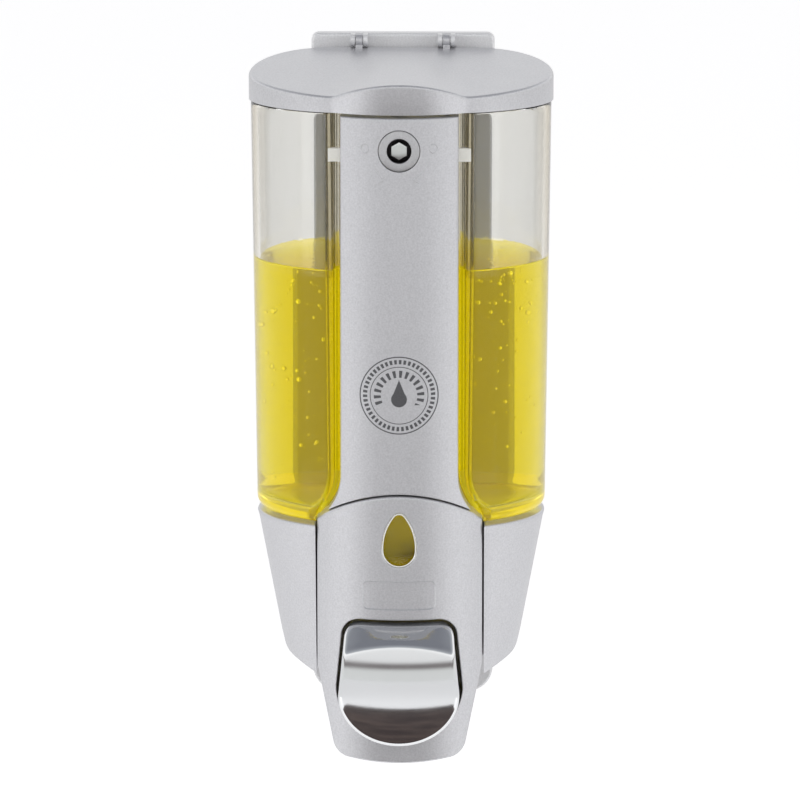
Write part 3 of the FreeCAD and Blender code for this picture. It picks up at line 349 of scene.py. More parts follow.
def moulding(outer, holes, top, edge, floor, wall=0.0, step=1.2, features=(), hole_edge=None,
             steps=7, thin=1.0):
    """A moulding with a rounded rim, as points (u, v, height) and faces.

    outer and holes are closed lines, top(u, v) is the face's height, floor(u, v) where the side
    walls end, and wall how thick it is; without it the moulding is solid and its holes are blind.
    features are closed lines that the face's net follows, and thin, from 0 to 1 along the outer
    line, draws its rounding and wall in where the moulding runs out to a point."""
    loops = [outer, *holes]
    signs = [1] + [-1] * len(holes)
    thin = np.broadcast_to(thin, len(outer))
    rounds = [edge * thin] + [edge if hole_edge is None else hole_edge] * len(holes)
    points, faces = [], []
    count = 0

    def add(flat, height):
        nonlocal count
        height = np.broadcast_to(height, len(flat))
        points.append(np.column_stack([flat, height]))
        count += len(flat)
        return count - len(flat)

    first = [drawn_in(line, sign * r * 1.3) for line, sign, r in zip(loops, signs, rounds)]
    flat, tris = net(first, step, features)
    start = add(flat, top(flat[:, 0], flat[:, 1]))
    faces += [tuple(start + k for k in face) for face in tris]
    ring_start = []
    at = start
    for line, sign, r in zip(loops, signs, rounds):
        n = len(line)
        last = at
        at += n
        for k in range(steps + 1):
            angle = math.pi / 2 * k / steps
            shrunk = drawn_in(line, sign * r * (1 - math.sin(angle)))
            ring = add(shrunk, top(shrunk[:, 0], shrunk[:, 1]) - r * (1 - math.cos(angle)))
            faces += bridge(last, ring, n)
            last = ring
        ring_start.append(last)
    if not wall:
        for line, last in zip(loops, ring_start):
            faces += bridge(last, add(line, floor(line[:, 0], line[:, 1])), len(line))
        flat, tris = net(loops, step * 2)
        bottom = add(flat, floor(flat[:, 0], flat[:, 1]))
        faces += [tuple(bottom + k for k in face[::-1]) for face in tris]
        return np.vstack(points), faces
    inner = [drawn_in(outer, wall * thin), *holes]
    low = add(outer, floor(outer[:, 0], outer[:, 1]))
    faces += bridge(ring_start[0], low, len(outer))
    rim = add(inner[0], floor(outer[:, 0], outer[:, 1]))
    faces += bridge(low, rim, len(outer))
    flat, tris = net(inner, step * 1.5)
    under = add(flat, top(flat[:, 0], flat[:, 1]) - wall)
    faces += [tuple(under + k for k in face[::-1]) for face in tris]
    faces += bridge(rim, under, len(outer))
    at = under + len(outer)
    for hole, last in zip(holes, ring_start[1:]):
        faces += bridge(last, at, len(hole))
        at += len(hole)
    return np.vstack(points), faces


def turned(profile, centre, axis, count):
    """A turned piece: profile holds (radius, place along the axis), and axis is 'x', 'y' or 'z'."""
    profile = np.asarray(profile, float)
    points, faces = [], []
    angle = np.linspace(0, 2 * math.pi, count, endpoint=False)
    order = {"x": (2, 0, 1), "y": (0, 2, 1), "z": (0, 1, 2)}[axis]
    for r, h in profile:
        ring = np.column_stack([r * np.cos(angle), r * np.sin(angle), np.full(count, h)])
        points.append(ring[:, order] + centre)
    for k in range(len(profile)):
        faces += bridge(k * count, (k + 1) % len(profile) * count, count)
    return np.vstack(points), faces


def joined(*parts):
    """Several sets of points and faces as one."""
    points, faces, start = [], [], 0
    for some, their in parts:
        points.append(np.asarray(some, float))
        faces += [tuple(start + k for k in face) for face in their]
        start += len(some)
    return np.vstack(points), faces


def taken_from(form):
    """A small edited mesh as points and faces."""
    form.verts.index_update()
    points = np.array([v.co for v in form.verts])
    faces = [tuple(v.index for v in f.verts) for f in form.faces]
    form.free()
    return points, faces


def block(low, high, round_over=0.25):
    """A bar between two corners, its edges rounded over."""
    form = bmesh.new()
    bmesh.ops.create_cube(form, size=1)
    low, high = np.array(low, float), np.array(high, float)
    for v in form.verts:
        v.co = Vector((low + high) / 2 + np.array(v.co) * (high - low))
    bmesh.ops.bevel(form, geom=form.edges[:] + form.verts[:], offset=round_over, segments=3,
                    affect="EDGES", profile=0.5)
    return taken_from(form)


def shell_of(name, form, unit, outwards=True):
    """An object from points and faces, its doubled points merged and its stray edges dropped."""
    points, faces = form
    mesh = bpy.data.meshes.new(name)
    mesh.from_pydata((np.asarray(points) * unit).tolist(), [], faces)
    shell = bmesh.new()
    shell.from_mesh(mesh)
    bmesh.ops.remove_doubles(shell, verts=shell.verts, dist=1e-4 * unit)
    bmesh.ops.delete(shell, geom=[edge for edge in shell.edges if not edge.link_faces], context="EDGES")
    if outwards:
        bmesh.ops.recalc_face_normals(shell, faces=shell.faces)
    shell.to_mesh(mesh)
    shell.free()
    obj = bpy.data.objects.new(name, mesh)
    scene.collection.objects.link(obj)
    return obj


def piece(name, form, body, material, stands_for=(), sharp=28, outwards=True):
    """Makes the named piece from points in millimetres and hangs it on its body."""
    obj = shell_of(name, form, mm, outwards)
    obj.data.shade_smooth()
    obj.data.set_sharp_from_angle(angle=math.radians(sharp))
    obj.data.materials.append(material)
    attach(obj, body)
    if stands_for:
        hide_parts(*stands_for)
    return obj


def surface_grain():
    """The fine grain of a moulded or painted surface: colour flecks, uneven gloss and a small bump."""
    group = bpy.data.node_groups.new("surface_grain", "ShaderNodeTree")
    for name, kind, value in (("Colour", "NodeSocketColor", (0.5, 0.5, 0.5, 1)),
                              ("Fleck Size", "NodeSocketFloat", 0.4), ("Fleck", "NodeSocketFloat", 0.1),
                              ("Mottle", "NodeSocketFloat", 0.05), ("Roughness", "NodeSocketFloat", 0.4),
                              ("Uneven Gloss", "NodeSocketFloat", 0.05), ("Bump", "NodeSocketFloat", 0.1)):
        socket = group.interface.new_socket(name, in_out="INPUT", socket_type=kind)
        socket.default_value = value
    given, maths = group.nodes.new("NodeGroupInput").outputs, sums_in(group)
    place = added(group, "TexCoord").outputs["Object"]
    flecks_per_metre = maths("DIVIDE", 1000.0, given["Fleck Size"])
    fine, broad = [added(group, "TexNoise", {"Vector": place, "Scale": size, "Detail": detail})
                   .outputs["Fac"] for size, detail in ((flecks_per_metre, 1.5), (160.0, 3.0))]
    mottle = maths("SUBTRACT", broad, 0.5)
    shade = maths("ADD", maths("MULTIPLY", maths("SUBTRACT", fine, 0.5), given["Fleck"]),
                  maths("MULTIPLY", mottle, given["Mottle"]))
    tint = added(group, "VectorMath", {0: given["Colour"], "Scale": maths("ADD", shade, 1.0)},
                 operation="SCALE").outputs["Vector"]
    gloss = maths("MULTIPLY_ADD", mottle, given["Uneven Gloss"], given["Roughness"])
    bump = added(group, "Bump", {"Distance": 0.00005, "Strength": given["Bump"], "Height": fine})
    made = (("Colour", "NodeSocketColor", tint), ("Roughness", "NodeSocketFloat", gloss),
            ("Normal", "NodeSocketVector", bump.outputs["Normal"]))
    for name, kind, output in made:
        group.interface.new_socket(name, in_out="OUTPUT", socket_type=kind)
    results = group.nodes.new("NodeGroupOutput").inputs
    for name, kind, output in made:
        group.links.new(output, results[name])
    return group


grain = surface_grain()


def grained(material, colour, roughness, **grains):
    """Places the grain in a material with its own values, and gives the grain's outputs."""
    inputs = {"Colour": (*colour, 1), "Roughness": roughness}
    inputs.update((key.replace("_", " "), value) for key, value in grains.items())
    return added(material.node_tree, "Group", inputs, node_tree=grain).outputs


def finish_of(name, colour, roughness, metallic=0.0, **grains):
    """A material whose colour, gloss and grain vary over the surface."""
    material = bare_finish(name, Metallic=metallic)
    made = grained(material, colour, roughness, **grains)
    feed(material, Base_Color=made["Colour"], Roughness=made["Roughness"], Normal=made["Normal"])
    return material


silver = finish_of("silver_paint", (0.62, 0.62, 0.64), 0.36, metallic=0.7, Fleck_Size=0.45, Fleck=0.35,
                   Mottle=0.06, Uneven_Gloss=0.08, Bump=0.35)

lid_mid_height = 83.8
lid_slope = 0.096
crown_top = 84.8
crown_radius = 39.0
crown_slope = 0.02
crown_front_y = -71.5
nose_radius = skin_radius + 0.4


def plan_side(inset, rear, start):
    """The plan outline's right half from the given ellipse angle at the front round to the rear."""
    a, b, corner = half_width - inset, front_depth - inset, rear_corner - inset
    return [curved((0, widest_y), a, b, start, 0, 60),
            curved((a - corner, widest_y), corner, rear - widest_y, 0, 90, 30),
            between((a - corner, rear), (0, rear), 8), np.array([[0.0, rear]])]


def lid_line():
    """The lid's outline seen from above: the nose's arc, then the body's own outline."""
    x = np.linspace(14, 20, 4000)
    nose = skin_axis_y - np.sqrt(nose_radius ** 2 - x ** 2)
    body = widest_y - front_depth * np.sqrt(1 - (x / half_width) ** 2)
    meet = x[np.argmin(np.abs(nose - body))]
    turn = math.degrees(math.asin(meet / nose_radius))
    start = -math.degrees(math.acos(meet / half_width))
    right = np.vstack([curved((0, skin_axis_y), nose_radius, nose_radius, -90, -90 + turn, 20),
                       *plan_side(0, lid_rear_y, start)])
    return with_mirror(right)


def blended(a, b, width):
    """The larger of two heights, with the crease between them rounded."""
    share = np.clip(0.5 + 0.5 * (a - b) / width, 0, 1)
    return b + (a - b) * share + width * share * (1 - share)


def lid_height(x, y):
    """The lid's top: a plane that falls to the front, and the crown that rises out of it."""
    plane = lid_mid_height + lid_slope * (y - widest_y)
    rise = np.sqrt(np.maximum(crown_radius ** 2 - x ** 2, 1.0)) - crown_radius
    crown = crown_top + rise + crown_slope * (y - crown_front_y)
    return blended(plane, crown, 0.7) - 0.1


def level(height):
    """A flat height for a moulding's face or floor."""
    return lambda x, y: np.full(len(x), float(height))


lid_form = moulding(spaced(lid_line(), 1.0), [], lid_height, 0.8, level(lid_bottom), wall=2.0, step=1.6)
hinge_x, hinge_y, hinge_z = 11.6, -7.0, 88.4


def knuckle(x):
    """A barrel round the hinge pin, and the neck that joins it to the lid's rear edge."""
    barrel = turned([(0.96, -0.95), (1.45, -0.95), (1.6, -0.8), (1.6, 0.8), (1.45, 0.95), (0.96, 0.95)],
                    (x, hinge_y, hinge_z), "x", 40)
    return joined(barrel, block((x - 0.95, hinge_y - 1.6, 85.3), (x + 0.95, -6.5, hinge_z - 1.0), 0.2))


def rim_guide(sign):
    """A curved rib under the lid that keeps the tank's side in place."""
    turn = math.degrees(math.asin(13.0 / (front_depth - 2.7)))
    outer, inner = [curved((0, widest_y), half_width - inset, front_depth - inset, -turn, turn, 24)
                    for inset in (2.7, 3.9)]
    line = np.vstack([outer, inner[::-1]]) * (sign, 1)
    points, faces = moulding(line[::sign], [], level(-tank_top + 1.2), 0.2, level(-81.5))
    return points * (1, 1, -1), faces


def nose_leant(form):
    """The lid with its nose leaning forward, so that it overhangs at the top and draws back below."""
    points, faces = form
    x, y, z = points.T
    lean = np.clip((z - lid_bottom) / 7.5, 0, 1) * 1.2 - 1.0
    on_nose = np.clip((-y - 63.0) / 4.0, 0, 1) * np.clip((24 - np.abs(x)) / 8, 0, 1)
    return np.column_stack([x, y - lean * on_nose, z]), faces


striker = joined(block((7.4, -59.8, 64.1), (12.93, -57.4, 65.5)),
                 block((11.53, -59.8, 64.1), (12.93, -57.4, 82.5)))
lid_parts = [nose_leant(lid_form), rim_guide(1), rim_guide(-1), striker, knuckle(hinge_x), knuckle(-hinge_x)]
piece("lid_shell", joined(*lid_parts), "lid", silver, ["lid"], sharp=13)


# ---- Wall plate ----
# A ribbed silver plate that two screws fix to the wall. The tank and the base hang on its hooks, and
# two steel pins in its upper ears carry the lid.
def painted(node, material):
    """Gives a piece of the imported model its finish."""
    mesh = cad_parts[node].data
    mesh.materials.clear()
    mesh.materials.append(material)


plate_silver = finish_of("silver_back", (0.74, 0.74, 0.75), 0.42, metallic=0.4, Fleck_Size=0.45, Fleck=0.3,
                         Mottle=0.08, Uneven_Gloss=0.08, Bump=0.3)
painted("wall_plate", plate_silver)
pin_steel = finish_of("pin_steel", (0.56, 0.56, 0.55), 0.28, metallic=1.0, Fleck_Size=0.3, Fleck=0.12,
                      Mottle=0.15, Uneven_Gloss=0.15, Bump=0.2)
pin_line = [(0.0, -2.2), (0.75, -2.2), (0.9, -2.05), (0.9, 2.05), (0.75, 2.2), (0.0, 2.2)]
pins = [turned(pin_line, (x, hinge_y, hinge_z), "x", 32) for x in (hinge_x, -hinge_x)]
piece("hinge_pins", joined(*pins), "frame", pin_steel, ["lid_hinge_pins"])


# ---- Tank ----
# One clear moulding, open under the lid. A bevelled groove in its front takes the column, and a well
# under its middle comes forward to the sight window and ends in the threaded neck.
tank_bottom = -31.5
tank_wall = 1.8
rear_y = -7.5
groove_floor_y = -55.8
groove_bevel_y = -60.6
groove_bevel_depth = 4.7
groove_mouth = 3.3
groove_half_width = 15.6
groove_flare_radius = 15.1
groove_turn = math.acos((groove_half_width + groove_flare_radius - 21.5) / 15.5)
flare_top = -17.6
soap_level = 35.0
port_y = -44.0
well_half_width = 11.0
well_radius = 25.1
well_floor, well_roof = -46.5, -25.0
hanger_x, hanger_z = 11.6, 44.0


def groove_side(z, grow):
    """Half the groove's width at one height; grow widens it."""
    r = groove_flare_radius - grow
    drop = min(max(flare_top - z, 0.0), r * math.sin(groove_turn))
    return groove_half_width + groove_flare_radius - math.sqrt(r * r - drop * drop)


def softened(before, corner, after):
    """A rounded corner from before to just short of after."""
    before, corner, after = (np.asarray(v, float) for v in (before, corner, after))
    t = np.linspace(0, 1, 7)[:-1, None]
    return before * (1 - t) ** 2 + corner * 2 * t * (1 - t) + after * t ** 2


def tank_ring(z, wall, inwards):
    """The tank's plan at one height, for a form wall inside its outer face; inwards rounds its foot."""
    inset = 0.5 + 1.3 * (tank_top - z) / (tank_top - tank_bottom) + wall + inwards
    a, b, corner = half_width - inset, front_depth - inset, rear_corner - inset
    floor_y = groove_floor_y + wall

    def front(x):
        return widest_y - b * np.sqrt(1 - (x / a) ** 2)

    near = min(groove_side(z, wall), a * math.sqrt(1 - ((widest_y - floor_y + 0.6) / b) ** 2))
    far = groove_side(z, wall + groove_mouth)
    s = np.linspace(0, 1, 400)
    x, y = near + (far - near) * s, groove_bevel_y - groove_bevel_depth * s
    if front(near) > groove_bevel_y:
        meet = np.array([near, front(near)])
        bend = np.array([near, (floor_y + meet[1]) / 2])
    else:
        k = max(int(np.argmin(np.abs(y - front(x)))), 20)
        meet, bend = np.array([x[k], y[k]]), np.array([near, groove_bevel_y])
    inner = np.array([near, floor_y])
    cut = min(0.8, 0.4 * abs(bend[1] - floor_y), 0.4 * np.linalg.norm(meet - bend))
    along = (meet - bend) / np.linalg.norm(meet - bend)
    start = -math.acos(meet[0] / a) + cut / a
    on_front = np.array([a * math.cos(start), widest_y + b * math.sin(start)])
    start = math.degrees(math.atan2((on_front[1] - widest_y) / b, on_front[0] / a))
    right = np.vstack([
        between((0, floor_y), inner - (cut, 0), 8), softened(inner - (cut, 0), inner, inner - (0, cut)),
        between(inner - (0, cut), bend + (0, cut), 4), softened(bend + (0, cut), bend, bend + along * cut),
        between(bend + along * cut, meet - along * cut, 4), softened(meet - along * cut, meet, on_front),
        curved((0, widest_y), a, b, start, 0, 50),
        curved((a - corner, widest_y), corner, rear_y - wall - widest_y, 0, 90, 26),
        between((a - corner, rear_y - wall), (0, rear_y - wall), 8), [(0, rear_y - wall)]])
    return np.column_stack([with_mirror(right), np.full(2 * len(right) - 2, z)])


def tank_form(wall, top, foot_round, rim=0.0):
    """A closed form that follows the tank's wall from top down to the foot."""
    low = tank_bottom + wall
    levels = [(top, 0.0)]
    if rim:
        levels = [(top - rim * (1 - math.cos(a)), rim * (1 - math.sin(a)))
                  for a in np.linspace(0, math.pi / 2, 4)]
    levels += [(z, 0.0) for z in np.linspace(top - 1.5, flare_top, 12)]
    levels += [(z, 0.0) for z in np.linspace(flare_top - 0.6, low + foot_round + 0.3, 10)]
    levels += [(low + foot_round * (1 - math.sin(a)), foot_round * (1 - math.cos(a)))
               for a in np.linspace(0, math.pi / 2, 9)]
    return stacked([tank_ring(z, wall, inwards) for z, inwards in levels])


def well_form(wall, foot_round):
    """The well in front of and under the tank, as a profile drawn across its width."""
    w, depth = well_half_width - wall, well_radius - wall
    front = skin_axis_y - depth
    rear, low, roof = widest_y - wall, well_floor + wall, well_roof - wall
    rise_y = groove_floor_y + tank_wall + 1.0
    top = tank_bottom + wall + foot_round + 1.0
    slope = 0.8
    profile = np.vstack([between((rear, low), (front, low), 12), between((front, low), (front, roof), 10),
                         between((front, roof), (rise_y, roof + (rise_y - front) * slope), 10),
                         [(rise_y, roof + (rise_y - front) * slope), (rise_y, top), (rear, top)]])
    rings = []
    for x in np.linspace(-w, w, 17):
        near = skin_axis_y - math.sqrt(depth * depth - x * x)
        y = np.maximum(profile[:, 0], near)
        rings.append(np.column_stack([np.full(len(y), x), y, profile[:, 1]]))
    return stacked(rings)


def carved(base, steps):
    """A form changed by other forms, each step being 'UNION' or 'DIFFERENCE' and a form."""
    base = shell_of("base", base, 1.0)
    tools = []
    for kind, form in steps:
        tool = shell_of("tool", form, 1.0)
        change = base.modifiers.new("change", "BOOLEAN")
        change.operation = kind
        change.solver = "EXACT"
        change.object = tool
        tools.append(tool)
    made = base.evaluated_get(bpy.context.evaluated_depsgraph_get()).to_mesh()
    points = np.array([v.co for v in made.vertices])
    faces = [tuple(p.vertices) for p in made.polygons]
    for obj in (base, *tools):
        mesh = obj.data
        bpy.data.objects.remove(obj)
        bpy.data.meshes.remove(mesh)
    return points, faces


def hanger_block(x, z):
    """A short bracket that drops over the wall plate's hook."""
    return block((x - 2.3, rear_y - 0.5, z - 1.3), (x + 2.3, rear_y + 2.6, z + 1.3), 0.3)


def clear_plastic(name, tint, ior, sheen):
    """A clear material; sheen is how much of its mirror gloss is left."""
    material = bare_finish(name, Transmission_Weight=1.0, IOR=ior, Specular_Tint=(sheen, sheen, sheen, 1))
    made = grained(material, tint, 0.02, Fleck=0.0, Mottle=0.01, Uneven_Gloss=0.02, Bump=0.0)
    feed(material, Base_Color=made["Colour"], Roughness=made["Roughness"])
    return material


def place_on(material, space="Object"):
    """The x, y and z outputs of a place on the piece in metres, or of its facing with "Normal"."""
    tree = material.node_tree
    return added(tree, "SeparateXYZ", {"Vector": added(tree, "TexCoord").outputs[space]}).outputs


def retinted(material, mask, tint):
    """Lays a tint over a material's colour where the mask is 1."""
    colour = material.node_tree.nodes["Principled BSDF"].inputs["Base Color"].links[0].from_socket
    feed(material, Base_Color=mixed(material.node_tree, mask, colour, (*tint, 1)))


def tank_painted_light_and_shade(material):
    """Paints light and shade into the clear tank's colour: a dark tint at its side edges, where it is seen
    edge on, and at its groove's mouth, and the soap's yellow on its foot.
    """
    tree = material.node_tree
    maths, at = sums_in(tree), place_on(material)
    side = maths("ABSOLUTE", at["X"])
    edge = added(tree, "MapRange", {"Value": side, "From Min": mm * 36.5, "From Max": mm * 38.8})
    # Painted shade: the tank's side edges are tinted a dark brownish grey.
    retinted(material, edge.outputs["Result"], (0.40, 0.36, 0.28))
    # Painted light: the soap's yellow is painted into the tank's foot.
    retinted(material, maths("LESS_THAN", at["Z"], mm * (tank_bottom + 4.2)), (0.86, 0.76, 0.14))
    # Painted shade: the groove's mouth is tinted a dark brownish grey, most strongly near the top.
    from_mouth = maths("ABSOLUTE", maths("SUBTRACT", side, mm * 17.0))
    mouth = maths("MULTIPLY", maths("LESS_THAN", from_mouth, mm * 1.9),
                  maths("LESS_THAN", at["Y"], mm * -54.0))
    above = added(tree, "MapRange", {"Value": at["Z"], "From Min": mm * 30.0, "From Max": mm * 45.0,
                                     "To Min": 0.7})
    retinted(material, maths("MULTIPLY", mouth, above.outputs["Result"]), (0.40, 0.36, 0.26))


neck_outside = [(3.0, -40.0), (7.0, -40.0), (7.0, -49.4)]
thread_pitch = 1.6
for drop in (0, thread_pitch, 2 * thread_pitch):
    neck_outside += [(7.0, -49.5 - drop), (6.6, -50.1 - drop), (6.6, -50.5 - drop), (7.0, -51.0 - drop)]
neck_outside += [(7.0, -54.6), (6.7, -55.0), (3.0, -55.0)]
neck = turned(neck_outside, (0, port_y, 0), "z", 64)


def neck_bore(top, bottom):
    """A plug the size of the neck's bore."""
    return turned([(0.01, top), (4.0, top), (4.0, bottom), (0.01, bottom)], (0, port_y, 0), "z", 48)


tank_shape = carved(tank_form(0.0, tank_top, 3.0, rim=0.4), [
    ("UNION", well_form(0.0, 3.0)), ("UNION", neck),
    ("UNION", hanger_block(hanger_x, hanger_z)), ("UNION", hanger_block(-hanger_x, hanger_z)),
    ("DIFFERENCE", tank_form(tank_wall, tank_top + 1.0, 4.5)), ("DIFFERENCE", well_form(tank_wall, 4.5)),
    ("DIFFERENCE", neck_bore(-40.0, -60.0))])
styrene_ior = 1.49
clear = clear_plastic("clear_styrene", (0.70, 0.697, 0.68), styrene_ior, 0.4)
clear_wet = clear_plastic("clear_styrene_wet", (0.72, 0.72, 0.70), styrene_ior, 0.05)
# Painted shade at the tank's side edges and groove mouth, and painted soap yellow on its foot.
tank_painted_light_and_shade(clear)
tank_body = piece("tank_body", tank_shape, "frame", clear, ["tank"], sharp=24)
tank_body.data.materials.append(clear_wet)
# Where soap lies against the wall, the plastic's own gloss is lost.
middles = np.array([face.center for face in tank_body.data.polygons]) / mm
x, y, z = middles.T
well_front = skin_axis_y - np.sqrt(np.maximum((well_radius - 0.7) ** 2 - x * x, 0))
wet = (np.abs(x) < well_half_width - 1) & (y > well_front) & (y < widest_y - 0.9)
wet &= (z > well_floor + 0.5) & (z < -12.0) & ((z < tank_bottom + 2) | (y < groove_floor_y + 1))
for low in np.arange(tank_bottom + 1.0, soap_level + 0.5, 2.0):
    row = (z >= low) & (z < min(low + 2.0, soap_level + 0.5))
    ring = tank_ring(max(low + 1.0, tank_bottom + 4.0), 1.0, 0.0)[:, :2]
    wet[row] |= is_inside(ring, middles[row][:, :2])
tank_body.data.polygons.foreach_set("material_index", wet.astype(np.int32))


# ---- Soap ----
# Yellow liquid soap that fills the tank, the well and the neck. It climbs a little at the walls, and
# bubbles hang in it and gather at its surface.
soap_reach = 0.3


def soap_body():
    """The soap's walls and floor, and its surface with a low rim and some froth."""
    wall = tank_wall - soap_reach
    points, faces = tank_form(wall, soap_level + 1.6, 4.5)
    n = len(tank_ring(soap_level, wall, 0.0))
    ring = points[:n, :2]
    rim = points[:n].copy()
    luck = random.Random(5)
    waves = [(luck.uniform(0.05, 0.5), luck.uniform(0, 6.28), luck.uniform(0, 6.28)) for k in range(7)]
    rough = np.zeros(n)
    for k, (size, phase, _) in enumerate(waves):
        rough += size * 0.25 * np.sin(np.arange(n) * (0.35 + 0.42 * k) + phase)
    behind = np.clip((ring[:, 1] + 20) / 10, 0, 1)
    rim[:, 2] = soap_level + 0.55 + np.abs(rough) * (0.35 + 2.2 * behind)
    points[:n] = rim
    surface = tank_ring(soap_level, wall + 0.35, 0.0)[:, :2]
    low_ring = tank_ring(soap_level, wall + 1.2, 0.0)[:, :2]
    flat, tris = net([low_ring], 1.3)
    height = np.full(len(flat), soap_level)
    for k in range(n, len(flat)):
        d = np.min(np.hypot(*(low_ring - flat[k]).T))
        ripple = 0.05 * math.sin(flat[k, 0] * 1.1) * math.sin(flat[k, 1] * 0.9)
        height[k] += 0.12 * math.exp(-d / 2.0) + ripple
    start = len(points)
    middle = np.column_stack([surface, soap_level + 0.18 + (rim[:, 2] - soap_level) * 0.25])
    top = np.column_stack([flat, height])
    faces = faces[1:] + bridge(0, start, n) + bridge(start, start + n, n)
    faces += [tuple(start + n + k for k in face) for face in tris]
    return np.vstack([points, middle, top]), faces


def bubble_places(count, seed):
    """Where the bubbles hang: (x, y, z, radius), well inside the soap and apart from each other."""
    luck = random.Random(seed)
    out = []
    while len(out) < count:
        near_top = luck.random() < 0.35
        z = soap_level - luck.expovariate(1 / 5.0) - 1.2 if near_top else luck.uniform(-26, soap_level - 1)
        r = min(0.12 + luck.expovariate(1 / 0.16), 0.75)
        x = luck.uniform(16.5, 37.0) * luck.choice((-1, 1))
        y = luck.uniform(-62.0, -12.0)
        ring = tank_ring(max(z, -24.0), tank_wall + r + 0.5, 0.0)[:, :2]
        if z < -24 or not is_inside(ring, np.array([[x, y]]))[0]:
            continue
        if all((x - a) ** 2 + (y - b) ** 2 + (z - c) ** 2 > (r + d + 0.3) ** 2 for a, b, c, d in out):
            out.append((x, y, z, r))
    return out


def bubble(centre, r):
    """A small round bubble, its skin facing inwards to the air."""
    form = bmesh.new()
    bmesh.ops.create_icosphere(form, subdivisions=2, radius=r)
    points, faces = taken_from(form)
    return points + centre, [face[::-1] for face in faces]


soap_in_well = well_form(tank_wall - soap_reach, 4.5)
soap_shape = carved(soap_body(), [("UNION", soap_in_well), ("UNION", neck_bore(-42.0, -56.0))])
bubbles = joined(*[bubble((x, y, z), r) for x, y, z, r in bubble_places(260, 11)])
soap_colour = clear_plastic("yellow_soap", (1.0, 1.0, 1.0), 1.12, 0.12)
soap_tree = soap_colour.node_tree
soap_maths = sums_in(soap_tree)
soap_depth = added(soap_tree, "VolumeAbsorption", {"Color": (0.945, 0.905, 0.0, 1), "Density": 125.0})
soap_tree.links.new(soap_depth.outputs["Volume"], soap_tree.nodes["Material Output"].inputs["Volume"])
soap_at = place_on(soap_colour)
# Painted shade: the soap's upward facing surface at its level is tinted a deeper, darker yellow.
facing_up = soap_maths("GREATER_THAN", soap_maths("ABSOLUTE", place_on(soap_colour, "Normal")["Z"]), 0.6)
near_level = soap_maths("GREATER_THAN", soap_at["Z"], mm * (soap_level - 0.4))
retinted(soap_colour, soap_maths("MULTIPLY", near_level, facing_up), (0.74, 0.60, 0.14))
stretched = added(soap_tree, "Mapping", {"Vector": added(soap_tree, "TexCoord").outputs["Object"],
                                         "Scale": (90.0, 90.0, 260.0)})
clouds = added(soap_tree, "TexNoise", {"Vector": stretched.outputs["Vector"], "Scale": 1.0, "Detail": 3.0})
lighter_up = soap_maths("MULTIPLY_ADD", soap_at["Z"], 25.0, 1.05)
well_glow = shaded_by(soap_tree, soap_maths("ADD", clouds.outputs["Fac"], lighter_up),
                      ((0.36, (0.018, 0.013, 0.0)), (0.66, (0.15, 0.128, 0.012))))
in_well = soap_maths("MULTIPLY", soap_maths("LESS_THAN", soap_at["Z"], mm * (tank_bottom + 3)),
                     soap_maths("LESS_THAN", soap_maths("ABSOLUTE", soap_at["X"]), mm * 9.9))
# A faint glow of its own stands for the daylight that a real tank gathers from all round.
feed(soap_colour, Emission_Color=mixed(soap_tree, in_well, (0.19, 0.162, 0.002, 1), well_glow))
soap_tree.nodes["Principled BSDF"].inputs["Emission Strength"].default_value = 0.8
liquid_soap = piece("soap_body", joined(soap_shape, bubbles), "frame", soap_colour,
                    ["soap_fill"], sharp=24, outwards=False)
liquid_soap.visible_shadow = False
tank_body.visible_diffuse = False
tank_body.visible_shadow = False


# ---- Front column ----
# The long silver spine in front of the tank, bent round the same upright cylinder as the cover below
# it. It flares where it meets the cover's arch, and the lock sits in a round seat near its top.
column_half_width = 15.2
column_top = box_mm("front_column")[1][2]
flare_radius = 15.5
cover_half_width = box_mm("front_cover")[1][0]
arch_top = -22.4
arch_radius = 35.0
lock_z = 67.6
lock_seat_radius = 5.42


def skin_height(x, z):
    """How far the common front skin stands out; it is upright, so only x matters."""
    return -skin_axis_y + np.sqrt(np.maximum(skin_radius ** 2 - x ** 2, 1.0))


def on_front(form):
    """A form drawn as (x, z, height) set upright, its height towards the front."""
    points, faces = form
    return points[:, (0, 2, 1)] * (1, -1, 1), faces


def flare_line():
    """The flare's points from the column's side down to the cover's shoulder."""
    centre_x = column_half_width + flare_radius
    turn = math.acos((centre_x - cover_half_width) / flare_radius)
    a = np.linspace(0, turn, 200)
    return np.column_stack([centre_x - flare_radius * np.cos(a), flare_top - flare_radius * np.sin(a)])


def arch_height(x, lift):
    """The arched joint between column and cover, raised by lift."""
    return arch_top + lift - arch_radius + np.sqrt(arch_radius ** 2 - x ** 2)


def arch_meets_flare(lift):
    """Where the arch, raised by lift, meets the flare, and the flare's points above and below."""
    line = flare_line()
    over = line[:, 1] - arch_height(line[:, 0], lift)
    x = np.interp(0, -over, line[:, 0])
    meet = np.array([x, arch_height(x, lift)])
    clear = np.hypot(*(line - meet).T) > 0.2
    return meet, line[clear & (over > 0)], line[clear & (over < 0)]


def arch_line(lift, to_x):
    """The arch's points from the middle line out to to_x."""
    x = np.linspace(0, to_x, 24)
    return np.column_stack([x, arch_height(x, lift)])


shadow_gap = 0.5
column_tip, flare_above, _ = arch_meets_flare(shadow_gap)
column_right = np.vstack([arch_line(shadow_gap, column_tip[0]), flare_above[::-1],
                          between((column_half_width, flare_top), (column_half_width, column_top), 60)[1:],
                          between((column_half_width, column_top), (0, column_top), 12), [(0, column_top)]])
column_edge = spaced(with_mirror(column_right), 0.9, corner=25)
lock_seat = curved((0, lock_z), lock_seat_radius, lock_seat_radius, 0, 360, 72)
from_tip = np.hypot(np.abs(column_edge[:, 0]) - column_tip[0], column_edge[:, 1] - column_tip[1])


def column_rear(x, z):
    """Where the column's side walls end: they are deeper along the flare."""
    return np.where(z > flare_top, 62.4, 59.0)


